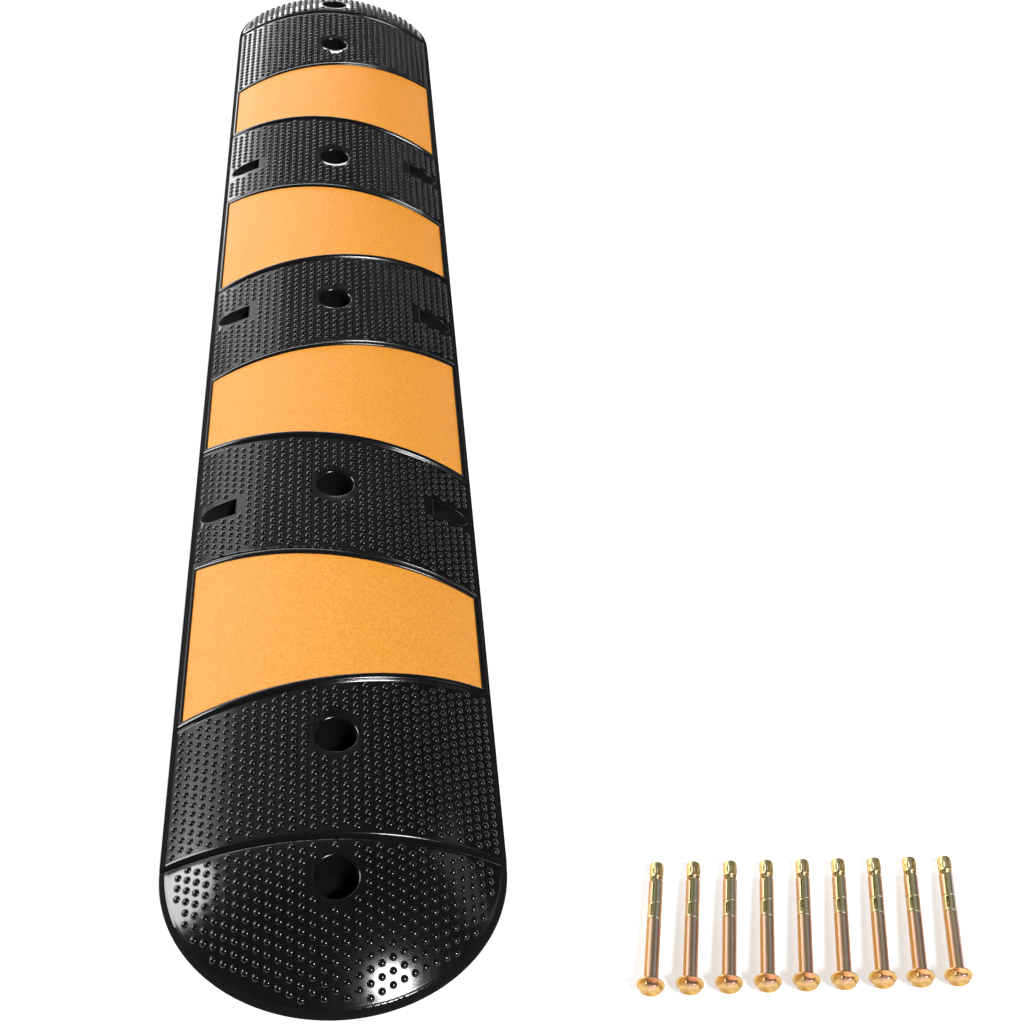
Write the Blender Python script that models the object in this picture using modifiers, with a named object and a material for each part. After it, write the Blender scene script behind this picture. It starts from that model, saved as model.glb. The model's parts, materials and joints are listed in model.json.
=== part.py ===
"""Rubber speed bump, 6 ft by 1 ft: a moulded rubber body with two end caps, four reflective
panels and nine sleeve anchors laid out beside it. Metres, +Z up, +Y along the bump, origin on
the ground under the middle of the body."""
import math

import bmesh
import bpy
from mathutils import Matrix

# ---------------------------------------------------------------- driving dimensions
# Bump
BODY_LENGTH = 1.550            # moulded body between the two end caps
BUMP_WIDTH = 0.300
CROWN_HEIGHT = 0.0535          # top of the studded crown, below the ribs
EDGE_HEIGHT = 0.004            # thickness of the rubber at its long edges
CAP_LENGTH = 0.140             # from the joint with the body to the cap's tip
JOINT_GAP = 0.0003             # between faces that meet
# Stripes
PANEL_COUNT = 4
PANEL_LENGTH = 0.157           # along the bump, at the centre line
PANEL_THICKNESS = 0.0010
PANEL_EDGE_STRIP = 0.009       # bare rubber outside a panel's ends
END_ZONE_LENGTH = 0.1767       # studded rubber between the last panel and the cap
STRIPE_SLANT = 0.1362          # run along the bump for each unit across it
RIB_WIDTH = 0.009
RIB_HEIGHT = 0.0015
# Anchor holes
ANCHOR_SEAT_HEIGHT = 0.020     # the flange bears here
ANCHOR_HOLE_CLEARANCE = 0.0009
FLANGE_CLEARANCE = 0.00695
END_HOLE_INSET = 0.108         # last hole of the body to the joint
CAP_HOLE_INSET = 0.0375        # hole of the cap to the joint
HOLES_IN_BODY = 5
# Reflector pockets
POCKET_WIDTH = 0.024
POCKET_FLOOR_HEIGHT = 0.010
POCKET_INSET = 0.0465          # from the long edge to the pocket's inner wall
# Cable channels, open underneath
CHANNEL_WIDTH = 0.034
CHANNEL_HEIGHT = 0.030
CHANNEL_OFFSET = 0.060         # channel's middle from the centre line
# Dovetail tongue of a cap, which the body drops over
TONGUE_LENGTH = 0.028
TONGUE_NECK_WIDTH = 0.036
TONGUE_END_WIDTH = 0.052
TONGUE_HEIGHT = 0.018
TONGUE_ROOT = 0.006            # how far the tongue is moulded into its cap
# Sleeve anchor, along its own axis from the head's end
HEX_ACROSS_FLATS = 0.017
HEX_HEIGHT = 0.0052
FLANGE_RADIUS = 0.01175
FLANGE_RIM_THICKNESS = 0.0012
FLANGE_THICKNESS = 0.0026
SLEEVE_RADIUS = 0.0061
SLEEVE_WALL = 0.0009
SHANK_CLEARANCE = 0.0007       # between the shank and a sleeve's bore
SPACER_LENGTH = 0.060
CRUSH_LENGTH = 0.016
EXPANSION_LENGTH = 0.024
NUT_LENGTH = 0.0143
NUT_CONE_LENGTH = 0.005
NUT_CONE_MARGIN = 0.0003       # its narrow end beyond the sleeve's bore
NUT_BORE_CLEARANCE = 0.00045   # between the shank and the nut's bore
THREAD_PITCH = 0.0015
TIGHTENING_TURNS = 2           # until the cone meets the sleeve
NECK_CLEARANCE = 0.0005        # left between cone and sleeve after those turns
SLEEVE_GAP = 0.0003
TAB_WIDTH = 0.005
TAB_LENGTH = 0.003
SEAM_WIDTH = 0.0012
WINDOW_WIDTH = 0.0032
WINDOW_MARGIN = 0.0020         # of whole sleeve at each end of the window
NOTCH_DEPTH = 0.0035
NOTCH_HALF_WIDTH = 0.0035      # at the sleeve's end
# Row of anchors on the ground
ANCHOR_COUNT = 9
ANCHOR_PITCH = 0.0333
ROW_CLEARANCE = 0.107          # first anchor's head to the bump's long edge
ROW_INSET = 0.010              # the heads, in from the near cap's tip
ROW_HEADING = math.radians(12)
ANCHOR_ROLL = math.radians(-28)
FLOOR_GAP = 0.0003
# Fineness
CROWN_FACETS = 20
CAP_STEPS = 48
HOLE_STEPS = 24
HALF_ROUND_STEPS = 8
ANCHOR_STEPS = 12
CREASE_ANGLE = math.radians(35)
CUTTER_OVERRUN = 0.020         # how far a cutter reaches past what it cuts

# ---------------------------------------------------------------- worked-out sizes
HALF_LENGTH = BODY_LENGTH / 2
HALF_WIDTH = BUMP_WIDTH / 2
CROWN_RISE = CROWN_HEIGHT - EDGE_HEIGHT
CROWN_RADIUS = (HALF_WIDTH ** 2 + CROWN_RISE ** 2) / (2 * CROWN_RISE)
PANEL_HALF_WIDTH = HALF_WIDTH - PANEL_EDGE_STRIP
HOLE_RADIUS = SLEEVE_RADIUS + ANCHOR_HOLE_CLEARANCE
SOCKET_RADIUS = FLANGE_RADIUS + FLANGE_CLEARANCE
MIDDLE_PANEL = (PANEL_COUNT - 1) / 2
STRIPE_PITCH = (HALF_LENGTH - END_ZONE_LENGTH - PANEL_LENGTH / 2) / MIDDLE_PANEL
SHOULDER = HEX_HEIGHT + FLANGE_THICKNESS
SPACER_START = SHOULDER + SLEEVE_GAP
CRUSH_START = SPACER_START + SPACER_LENGTH + SLEEVE_GAP
EXPANSION_START = CRUSH_START + CRUSH_LENGTH + SLEEVE_GAP
EXPANSION_END = EXPANSION_START + EXPANSION_LENGTH
NUT_TRAVEL = THREAD_PITCH * TIGHTENING_TURNS
NUT_START = EXPANSION_END + NUT_TRAVEL + NECK_CLEARANCE
ANCHOR_LENGTH = NUT_START + NUT_LENGTH
SLEEVE_BORE = SLEEVE_RADIUS - SLEEVE_WALL
SHANK_RADIUS = SLEEVE_BORE - SHANK_CLEARANCE
NUT_CONE_RADIUS = SLEEVE_BORE + NUT_CONE_MARGIN
NUT_BORE_RADIUS = SHANK_RADIUS + NUT_BORE_CLEARANCE
ROW_START_X = HALF_WIDTH + ROW_CLEARANCE
ROW_Y = ROW_INSET - HALF_LENGTH - CAP_LENGTH


def crown(x):
    """Height of the studded crown: an arc from edge to edge over the centre line."""
    return CROWN_HEIGHT - CROWN_RADIUS + math.sqrt(CROWN_RADIUS ** 2 - x ** 2)


def stations(half_width):
    """Places across the bump at which the crown is faceted."""
    return [half_width * (2 * i / CROWN_FACETS - 1) for i in range(CROWN_FACETS + 1)]


# ---------------------------------------------------------------- scene, collections, materials
def clear_scene():
    for item in list(bpy.data.objects):
        bpy.data.objects.remove(item, do_unlink=True)


def new_collection(name):
    collection = bpy.data.collections.new(name)
    bpy.context.scene.collection.children.link(collection)
    return collection


def new_material(name, colour, roughness, metallic):
    material = bpy.data.materials.new(name)
    material.use_nodes = True
    shader = material.node_tree.nodes["Principled BSDF"]
    shader.inputs["Base Color"].default_value = (*colour, 1.0)
    shader.inputs["Roughness"].default_value = roughness
    shader.inputs["Metallic"].default_value = metallic
    return material


clear_scene()
PARTS = new_collection("rubber_speed_bump")
CUTTERS = new_collection("cutters")
BODY_RUBBER = new_material("body_rubber", (0.012, 0.012, 0.013), 0.42, 0.0)
CAP_RUBBER = new_material("cap_rubber", (0.012, 0.012, 0.013), 0.38, 0.0)
REFLECTIVE_FILM = new_material("reflective_film", (0.95, 0.42, 0.08), 0.45, 0.0)
BOLT_ZINC = new_material("bolt_zinc", (0.72, 0.55, 0.32), 0.30, 1.0)
SPACER_ZINC = new_material("spacer_zinc", (0.80, 0.55, 0.36), 0.28, 1.0)
CRUSH_ZINC = new_material("crush_zinc", (0.78, 0.72, 0.36), 0.30, 1.0)
EXPANSION_ZINC = new_material("expansion_zinc", (0.82, 0.52, 0.40), 0.28, 1.0)
NUT_ZINC = new_material("nut_zinc", (0.74, 0.64, 0.30), 0.32, 1.0)


# ---------------------------------------------------------------- mesh tools
def add_object(name, mesh, collection, material=None):
    item = bpy.data.objects.new(name, mesh)
    collection.objects.link(item)
    if material and not mesh.materials:
        mesh.materials.append(material)
    if collection is CUTTERS:
        item.hide_render = True
        item.display_type = "WIRE"
    return item


def mesh_from(bm, name):
    bmesh.ops.recalc_face_normals(bm, faces=bm.faces)
    mesh = bpy.data.meshes.new(name)
    bm.to_mesh(mesh)
    bm.free()
    return mesh


def extruded(name, outline, axis, start, end):
    """An outline in the plane across an axis, drawn out along that axis from start to end.
    The outline's two numbers are the other two axes in X, Y, Z order."""
    bm = bmesh.new()
    corners = []
    for point in outline:
        place = list(point)
        place.insert("XYZ".index(axis), start)
        corners.append(bm.verts.new(place))
    face = bm.faces.new(corners)
    swept = bmesh.ops.extrude_face_region(bm, geom=[face])
    far_corners = [v for v in swept["geom"] if isinstance(v, bmesh.types.BMVert)]
    travel = [0.0, 0.0, 0.0]
    travel["XYZ".index(axis)] = end - start
    bmesh.ops.translate(bm, verts=far_corners, vec=travel)
    return mesh_from(bm, name)


def sheared_ends(mesh, near_slant, far_slant):
    """Lean the near and the far end of a piece that runs along Y, each by its own slant."""
    middle = sum(v.co.y for v in mesh.vertices) / len(mesh.vertices)
    for vertex in mesh.vertices:
        slant = near_slant if vertex.co.y < middle else far_slant
        vertex.co.y += slant * vertex.co.x
    return mesh


def turned(name, profile, steps, collection, material=None, closed=False):
    """A profile of (radius, height) points, its outer side from top to bottom, turned about Z."""
    mesh = bpy.data.meshes.new(name)
    edges = [(i, i + 1) for i in range(len(profile) - 1)]
    if closed:
        edges.append((len(profile) - 1, 0))
    mesh.from_pydata([(r, 0.0, z) for r, z in profile], edges, [])
    item = add_object(name, mesh, collection, material)
    screw = item.modifiers.new("Turn", "SCREW")
    screw.steps = steps
    screw.render_steps = steps
    screw.use_merge_vertices = True
    screw.merge_threshold = 0.00001
    screw.use_smooth_shade = False
    return item


def boolean(item, other, operation):
    modifier = item.modifiers.new(operation.title(), "BOOLEAN")
    modifier.operation = operation
    modifier.solver = "EXACT"
    modifier.object = other


def cut(item, *others):
    for other in others:
        boolean(item, other, "DIFFERENCE")


def box(name, low, high):
    """A box cutter between two opposite corners."""
    bm = bmesh.new()
    size = [h - l for l, h in zip(low, high)]
    middle = [(l + h) / 2 for l, h in zip(low, high)]
    matrix = Matrix.Translation(middle) @ Matrix.Diagonal((*size, 1.0))
    bmesh.ops.create_cube(bm, size=1.0, matrix=matrix)
    return add_object(name, mesh_from(bm, name), CUTTERS)


def finished(item, name):
    """The piece with its modifiers worked out, as a mesh that copies can share."""
    bpy.context.view_layer.update()
    evaluated = item.evaluated_get(bpy.context.evaluated_depsgraph_get())
    mesh = bpy.data.meshes.new_from_object(evaluated)
    mesh.name = name
    return mesh


def shade(item):
    item.data.shade_smooth()
    item.data.set_sharp_from_angle(angle=CREASE_ANGLE)


# ---------------------------------------------------------------- where things sit along the bump
def hole_places():
    last = HALF_LENGTH - END_HOLE_INSET
    step = 2 * last / (HOLES_IN_BODY - 1)
    return [-last + step * i for i in range(HOLES_IN_BODY)]


def panel_bands():
    """Each panel's near and far boundary: (place on the centre line, slant)."""
    bands = []
    for index in range(PANEL_COUNT):
        middle = (index - MIDDLE_PANEL) * STRIPE_PITCH
        lean = STRIPE_SLANT if index % 2 == 0 else -STRIPE_SLANT
        near = (middle - PANEL_LENGTH / 2, lean)
        far = (middle + PANEL_LENGTH / 2, -lean)
        bands.append((near, far))
    return bands


def pocket_places():
    """A pocket on each side of the studded zones that lie between two panels."""
    zones = [index - MIDDLE_PANEL + 0.5 for index in range(PANEL_COUNT - 1)]
    return [(side, zone * STRIPE_PITCH) for zone in zones for side in (-1, 1)]


def band_solid(name, half_width, bottom, top, near, far):
    """A solid between two copies of the crown, raised by bottom and by top, from the near
    boundary to the far one, each a place on the centre line and a slant."""
    across = stations(half_width)
    outline = [(x, crown(x) + bottom) for x in across]
    outline += [(x, crown(x) + top) for x in reversed(across)]
    mesh = extruded(name, outline, "Y", near[0], far[0])
    return sheared_ends(mesh, near[1], far[1])


# ---------------------------------------------------------------- cutters of the bump
def stud_zone_cutters():
    """Above the crown, everything between two ribs, or between a rib and the body's end."""
    bands = panel_bands()
    past_end = HALF_LENGTH + CUTTER_OVERRUN
    edges = [(-past_end, 0.0)]
    for near, far in bands:
        edges.append((near[0] - RIB_WIDTH, near[1]))
        edges.append((far[0] + RIB_WIDTH, far[1]))
    edges.append((past_end, 0.0))
    reach = HALF_WIDTH + RIB_HEIGHT
    cutters = []
    for zone in range(len(bands) + 1):
        mesh = band_solid(f"cut_zone_{zone + 1}", reach, 0.0, CUTTER_OVERRUN,
                          edges[2 * zone], edges[2 * zone + 1])
        cutters.append(add_object(mesh.name, mesh, CUTTERS))
    return cutters


def panel_recess_cutters():
    """Seats of the panels, wider all round by the gap."""
    cutters = []
    for index, (near, far) in enumerate(panel_bands()):
        mesh = band_solid(f"cut_panel_{index + 1}", PANEL_HALF_WIDTH + JOINT_GAP,
                          -PANEL_THICKNESS - JOINT_GAP, CUTTER_OVERRUN,
                          (near[0] - JOINT_GAP, near[1]), (far[0] + JOINT_GAP, far[1]))
        cutters.append(add_object(mesh.name, mesh, CUTTERS))
    return cutters


def anchor_hole_cutter(name, y):
    """Wide socket down to the flange's seat, then a narrow hole through the rubber."""
    top = CROWN_HEIGHT + CUTTER_OVERRUN
    profile = [(0.0, top), (SOCKET_RADIUS, top), (SOCKET_RADIUS, ANCHOR_SEAT_HEIGHT),
               (HOLE_RADIUS, ANCHOR_SEAT_HEIGHT), (HOLE_RADIUS, -CUTTER_OVERRUN),
               (0.0, -CUTTER_OVERRUN)]
    cutter = turned(name, profile, HOLE_STEPS, CUTTERS)
    cutter.location.y = y
    return cutter


def pocket_cutter(name, side, y):
    """A trough across the slope with a round floor and an upright inner wall."""
    radius = POCKET_WIDTH / 2
    middle = POCKET_FLOOR_HEIGHT + radius
    top = CROWN_HEIGHT + CUTTER_OVERRUN
    outline = [(y - radius, top)]
    for step in range(HALF_ROUND_STEPS + 1):
        angle = math.pi + math.pi * step / HALF_ROUND_STEPS
        outline.append((y + radius * math.cos(angle), middle + radius * math.sin(angle)))
    outline.append((y + radius, top))
    inner = HALF_WIDTH - POCKET_INSET
    mesh = extruded(name, outline, "X", side * inner, side * (HALF_WIDTH + CUTTER_OVERRUN))
    return add_object(name, mesh, CUTTERS)


def channel_cutter(name, side):
    """A cable channel with a half-round roof, open underneath and at both ends."""
    radius = CHANNEL_WIDTH / 2
    middle = side * CHANNEL_OFFSET
    spring = CHANNEL_HEIGHT - radius
    outline = [(middle - radius, -CUTTER_OVERRUN)]
    for step in range(HALF_ROUND_STEPS + 1):
        angle = math.pi - math.pi * step / HALF_ROUND_STEPS
        outline.append((middle + radius * math.cos(angle), spring + radius * math.sin(angle)))
    outline.append((middle + radius, -CUTTER_OVERRUN))
    end = HALF_LENGTH + CUTTER_OVERRUN
    return add_object(name, extruded(name, outline, "Y", -end, end), CUTTERS)


def tongue_mesh(name, end, root, clearance, bottom):
    """The dovetail in plan, from inside the cap to its wide end under the body."""
    neck = TONGUE_NECK_WIDTH / 2 + clearance
    wide = TONGUE_END_WIDTH / 2 + clearance
    joint = HALF_LENGTH
    tip = joint - TONGUE_LENGTH - clearance
    outline = [(-neck, end * (joint + root)), (neck, end * (joint + root)),
               (neck, end * joint), (wide, end * tip), (-wide, end * tip), (-neck, end * joint)]
    return extruded(name, outline, "Z", bottom, TONGUE_HEIGHT + clearance)


# ---------------------------------------------------------------- pieces of the bump
def make_body():
    across = stations(HALF_WIDTH)
    outline = [(-HALF_WIDTH, 0.0)]
    outline += [(x, crown(x) + RIB_HEIGHT) for x in across]
    outline.append((HALF_WIDTH, 0.0))
    mesh = extruded("speed_bump_body", outline, "Y", -HALF_LENGTH, HALF_LENGTH)
    body = add_object("speed_bump_body", mesh, PARTS, BODY_RUBBER)
    cut(body, *stud_zone_cutters(), *panel_recess_cutters())
    for index, y in enumerate(hole_places()):
        cut(body, anchor_hole_cutter(f"cut_body_hole_{index + 1}", y))
    for index, (side, y) in enumerate(pocket_places()):
        cut(body, pocket_cutter(f"cut_pocket_{index + 1}", side, y))
    for index, side in enumerate((-1, 1)):
        cut(body, channel_cutter(f"cut_channel_{index + 1}", side))
    for end in (-1, 1):
        name = f"cut_tongue_{'near' if end < 0 else 'far'}"
        mesh = tongue_mesh(name, end, CUTTER_OVERRUN, JOINT_GAP, -CUTTER_OVERRUN)
        cut(body, add_object(name, mesh, CUTTERS))
    shade(body)


def make_cap(name, end):
    """A low dome, the crown's arc turned about the joint's middle and squeezed to its length."""
    profile = [(x, crown(x)) for x in stations(HALF_WIDTH)[CROWN_FACETS // 2:]]
    profile += [(HALF_WIDTH, 0.0), (0.0, 0.0)]
    dome = turned(f"{name}_dome", profile, CAP_STEPS, CUTTERS)
    mesh = finished(dome, name)
    mesh.transform(Matrix.Diagonal((1.0, CAP_LENGTH / HALF_WIDTH, 1.0, 1.0)))
    mesh.transform(Matrix.Translation((0.0, end * HALF_LENGTH, 0.0)))
    bpy.data.objects.remove(dome, do_unlink=True)
    cap = add_object(name, mesh, PARTS, CAP_RUBBER)
    face = end * (HALF_LENGTH + JOINT_GAP)
    beyond = end * (HALF_LENGTH - CAP_LENGTH - CUTTER_OVERRUN)
    reach = HALF_WIDTH + CUTTER_OVERRUN
    half = box(f"cut_{name}_half", (-reach, min(face, beyond), -CUTTER_OVERRUN),
               (reach, max(face, beyond), CROWN_HEIGHT + CUTTER_OVERRUN))
    tongue = tongue_mesh(f"add_{name}_tongue", end, TONGUE_ROOT, 0.0, 0.0)
    cut(cap, half)
    boolean(cap, add_object(tongue.name, tongue, CUTTERS), "UNION")
    hole_y = end * (HALF_LENGTH + CAP_HOLE_INSET)
    cut(cap, anchor_hole_cutter(f"cut_{name}_hole", hole_y))
    shade(cap)


def make_panels():
    for index, (near, far) in enumerate(panel_bands()):
        mesh = band_solid(f"reflective_panel_{index + 1}", PANEL_HALF_WIDTH,
                          -PANEL_THICKNESS, 0.0, near, far)
        panel = add_object(mesh.name, mesh, PARTS, REFLECTIVE_FILM)
        shade(panel)


# ---------------------------------------------------------------- pieces of a sleeve anchor
def make_bolt():
    """Hex flange bolt along +Z, its head's end at the origin."""
    profile = [(0.0, ANCHOR_LENGTH), (SHANK_RADIUS, ANCHOR_LENGTH), (SHANK_RADIUS, SHOULDER),
               (FLANGE_RADIUS, HEX_HEIGHT + FLANGE_RIM_THICKNESS), (FLANGE_RADIUS, HEX_HEIGHT),
               (SHANK_RADIUS, HEX_HEIGHT / 2), (0.0, HEX_HEIGHT / 2)]
    bolt = turned("bolt_master", profile, ANCHOR_STEPS, CUTTERS)
    corner = HEX_ACROSS_FLATS / math.sqrt(3)
    bm = bmesh.new()
    bmesh.ops.create_cone(bm, cap_ends=True, segments=6, radius1=corner, radius2=corner,
                          depth=HEX_HEIGHT, matrix=Matrix.Translation((0, 0, HEX_HEIGHT / 2)))
    hexagon = add_object("bolt_hexagon", mesh_from(bm, "bolt_hexagon"), CUTTERS)
    boolean(bolt, hexagon, "UNION")
    return bolt


def make_sleeve(name, start, length):
    """A tube about +Z from start, as a closed loop of wall turned round."""
    end = start + length
    profile = [(SLEEVE_BORE, end), (SLEEVE_RADIUS, end), (SLEEVE_RADIUS, start), (SLEEVE_BORE, start)]
    return turned(name, profile, ANCHOR_STEPS, CUTTERS, closed=True)


def tab_slot(name, low, high):
    """Cutter across a sleeve's end for both tabs of its neighbour."""
    half = TAB_WIDTH / 2 + SLEEVE_GAP
    reach = 2 * SLEEVE_RADIUS
    return box(name, (-reach, -half, low), (reach, half, high))


def make_spacer():
    spacer = make_sleeve("spacer_master", SPACER_START, SPACER_LENGTH)
    end = SPACER_START + SPACER_LENGTH
    cut(spacer, tab_slot("cut_spacer_tabs", end - TAB_LENGTH, end + TAB_LENGTH))
    return spacer


def make_crush_sleeve():
    """Short sleeve with two tabs at each end and a window that shows the thread."""
    low = CRUSH_START - TAB_LENGTH
    high = CRUSH_START + CRUSH_LENGTH + TAB_LENGTH
    crush = make_sleeve("crush_master", low, high - low)
    half = TAB_WIDTH / 2
    reach = 2 * SLEEVE_RADIUS
    ends = ((low - TAB_LENGTH, CRUSH_START), (CRUSH_START + CRUSH_LENGTH, high + TAB_LENGTH))
    for index, (bottom, top) in enumerate(ends):
        for side in (-1, 1):
            inner, outer = sorted((side * half, side * reach))
            cut(crush, box(f"cut_crush_{index}_{side}", (-reach, inner, bottom), (reach, outer, top)))
    bottom = CRUSH_START + WINDOW_MARGIN
    top = CRUSH_START + CRUSH_LENGTH - WINDOW_MARGIN
    cut(crush, box("cut_crush_window", (-WINDOW_WIDTH / 2, -reach, bottom),
                   (WINDOW_WIDTH / 2, 0.0, top)))
    return crush


def make_expansion_sleeve():
    """Split sleeve with an open seam, a V-notch at the nut's end and slots for the tabs."""
    expansion = make_sleeve("expansion_master", EXPANSION_START, EXPANSION_LENGTH)
    reach = 2 * SLEEVE_RADIUS
    cut(expansion, box("cut_expansion_seam", (-SEAM_WIDTH / 2, -reach, EXPANSION_START - TAB_LENGTH),
                       (SEAM_WIDTH / 2, 0.0, EXPANSION_END + TAB_LENGTH)))
    spread = 2 * NOTCH_HALF_WIDTH
    past_end = EXPANSION_END + NOTCH_DEPTH
    outline = [(-spread, past_end), (0.0, EXPANSION_END - NOTCH_DEPTH), (spread, past_end)]
    notch = extruded("cut_expansion_notch", outline, "Y", -reach, 0.0)
    cut(expansion, add_object(notch.name, notch, CUTTERS))
    cut(expansion, tab_slot("cut_expansion_tabs", EXPANSION_START - TAB_LENGTH,
                            EXPANSION_START + TAB_LENGTH))
    return expansion


def make_cone_nut():
    """Long nut whose lower end narrows to a cone that spreads the sleeve."""
    top = NUT_START + NUT_LENGTH
    shoulder = NUT_START + NUT_CONE_LENGTH
    profile = [(NUT_BORE_RADIUS, top), (SLEEVE_RADIUS, top), (SLEEVE_RADIUS, shoulder),
               (NUT_CONE_RADIUS, NUT_START), (NUT_BORE_RADIUS, NUT_START)]
    return turned("nut_master", profile, ANCHOR_STEPS, CUTTERS, closed=True)


def anchor_tilt():
    """Slope of an anchor that lies on its flange's rim and on its nut's far end."""
    drop = FLANGE_RADIUS - SLEEVE_RADIUS
    span = ANCHOR_LENGTH - HEX_HEIGHT - FLANGE_RIM_THICKNESS
    return math.atan2(drop, span)


def make_anchors():
    pieces = [("bolt", make_bolt(), BOLT_ZINC), ("spacer_sleeve", make_spacer(), SPACER_ZINC),
              ("crush_sleeve", make_crush_sleeve(), CRUSH_ZINC),
              ("expansion_sleeve", make_expansion_sleeve(), EXPANSION_ZINC),
              ("cone_nut", make_cone_nut(), NUT_ZINC)]
    meshes = []
    for name, master, material in pieces:
        mesh = finished(master, f"anchor_{name}")
        mesh.materials.clear()
        mesh.materials.append(material)
        bpy.data.objects.remove(master, do_unlink=True)
        meshes.append((name, mesh))
    tilt = anchor_tilt()
    rim = HEX_HEIGHT + FLANGE_RIM_THICKNESS
    height = FLOOR_GAP + FLANGE_RADIUS * math.cos(tilt) + rim * math.sin(tilt)
    for index in range(ANCHOR_COUNT):
        axis = bpy.data.objects.new(f"anchor_{index + 1}_axis", None)
        PARTS.objects.link(axis)
        axis.location = (ROW_START_X + index * ANCHOR_PITCH, ROW_Y, height)
        axis.rotation_euler = (-math.pi / 2 - tilt, 0.0, -ROW_HEADING)
        for name, mesh in meshes:
            piece = add_object(f"anchor_{index + 1}_{name}", mesh, PARTS)
            piece.parent = axis
            piece.rotation_euler.z = ANCHOR_ROLL
            shade(piece)


make_body()
make_cap("end_cap_near", -1)
make_cap("end_cap_far", 1)
make_panels()
make_anchors()
bpy.context.view_layer.update()
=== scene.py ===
"""Rubber speed bump with its sleeve anchors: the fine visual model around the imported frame."""
import json
import math

import bmesh
import bpy
import numpy as np
from bpy.props import FloatProperty, FloatVectorProperty, PointerProperty
from mathutils import Euler, Matrix, Vector


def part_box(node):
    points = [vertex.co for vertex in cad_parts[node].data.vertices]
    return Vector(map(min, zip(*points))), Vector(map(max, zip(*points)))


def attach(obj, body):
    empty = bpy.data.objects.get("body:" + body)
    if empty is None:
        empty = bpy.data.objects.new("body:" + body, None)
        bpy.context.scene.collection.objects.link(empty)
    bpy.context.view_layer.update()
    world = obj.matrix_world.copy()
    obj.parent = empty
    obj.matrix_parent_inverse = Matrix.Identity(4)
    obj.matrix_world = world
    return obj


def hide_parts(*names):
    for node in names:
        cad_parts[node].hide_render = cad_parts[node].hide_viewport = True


bl_info = {
    "name": "Rubber speed bump",
    "version": (1, 0, 0),
    "blender": (4, 5, 0),
    "location": "3D View > Sidebar > Speed bump",
    "description": "Studded rubber speed bump, its reflective panels and its sleeve anchors",
    "category": "Object",
}

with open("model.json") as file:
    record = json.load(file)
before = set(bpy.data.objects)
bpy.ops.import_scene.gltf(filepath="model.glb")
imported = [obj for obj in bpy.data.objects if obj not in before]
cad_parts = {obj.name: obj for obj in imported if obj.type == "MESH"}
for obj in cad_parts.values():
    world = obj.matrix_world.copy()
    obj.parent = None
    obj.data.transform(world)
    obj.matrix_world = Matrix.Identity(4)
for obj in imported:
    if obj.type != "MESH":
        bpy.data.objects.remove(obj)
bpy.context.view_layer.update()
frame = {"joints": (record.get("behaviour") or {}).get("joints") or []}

# ---------------------------------------------------------------- sizes in metres
# The outer ones come from the frame; the others are chosen to fit inside them.
HALF_WIDTH, HALF_LENGTH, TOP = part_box("speed_bump_body")[1]
CAP_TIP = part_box("end_cap_far")[1][1]
RIB_HEIGHT = 0.0015
CROWN_HEIGHT = TOP - RIB_HEIGHT
EDGE_HEIGHT = 0.004
CROWN_RISE = CROWN_HEIGHT - EDGE_HEIGHT
CROWN_RADIUS = (HALF_WIDTH ** 2 + CROWN_RISE ** 2) / (2 * CROWN_RISE)
CAP_SQUEEZE = (CAP_TIP - HALF_LENGTH) / HALF_WIDTH
JOINT_GAP = 0.0003

PANEL_NAMES = [f"reflective_panel_{i}" for i in range(1, 5)]
STRIPE_SLANT = 0.1362
PANEL_HALF_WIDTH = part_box(PANEL_NAMES[0])[1][0]
PANEL_LENGTH = 0.157
PANEL_THICKNESS = 0.0010
RECESS = PANEL_THICKNESS + JOINT_GAP

BODY_HOLES = (-0.667, -0.3335, 0.0, 0.3335, 0.667)
CAP_HOLE = HALF_LENGTH + 0.0375
SOCKET_RADIUS = 0.0187
HOLE_RADIUS = 0.0070
SEAT_HEIGHT = 0.020
LIP = 0.0022                   # reach of the sockets' flared lips
LIP_BEAD = 0.00055             # radius of the bead round a pocket, and how far it is sunk
LIP_SINK = 0.0003
STUD_FLOOR = 0.0006            # how far the rubber between the studs lies under the crown

STRIPE_PITCH = (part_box(PANEL_NAMES[3])[0][1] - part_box(PANEL_NAMES[0])[0][1]) / 3
POCKET_PLACES = (-STRIPE_PITCH, 0.0, STRIPE_PITCH)
POCKET_RADIUS = 0.012
POCKET_FLOOR = 0.010
POCKET_INNER = 0.1035

CHANNEL_OFFSET = 0.060
CHANNEL_RADIUS = 0.017
CHANNEL_SPRING = 0.013
TONGUE_LENGTH = 0.028
TONGUE_NECK = 0.018            # half widths: where it leaves the cap, and at its wide end
TONGUE_WIDE = 0.026
TONGUE_HEIGHT = 0.018
TONGUE_ROOT = 0.006            # how far it starts inside the cap

ANCHOR_COUNT = 9
ANCHOR_LENGTH = 0.1265
SLEEVE_OUTER = 0.0061
SLEEVE_INNER = 0.0052
OVERRUN = 0.020                # how far a cutter reaches past what it cuts


def panel_bands():
    """Near and far boundary of each panel: place on the centre line and slant."""
    bands = []
    for index, name in enumerate(PANEL_NAMES):
        low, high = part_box(name)
        middle = (low[1] + high[1]) / 2
        lean = STRIPE_SLANT if index % 2 == 0 else -STRIPE_SLANT
        bands.append((middle - PANEL_LENGTH / 2, lean, middle + PANEL_LENGTH / 2, -lean))
    return bands


def from_panels(x, y):
    """How far along the bump a place lies outside the nearest panel's slanting ends."""
    return np.min([np.maximum(near + near_slant * x - y, y - far - far_slant * x)
                   for near, near_slant, far, far_slant in panel_bands()], axis=0)


# ---------------------------------------------------------------- mesh tools
def new_object(name, data):
    """A new object of the scene, holding a mesh, a light or a camera."""
    item = bpy.data.objects.new(name, data)
    bpy.context.scene.collection.objects.link(item)
    return item


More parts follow.
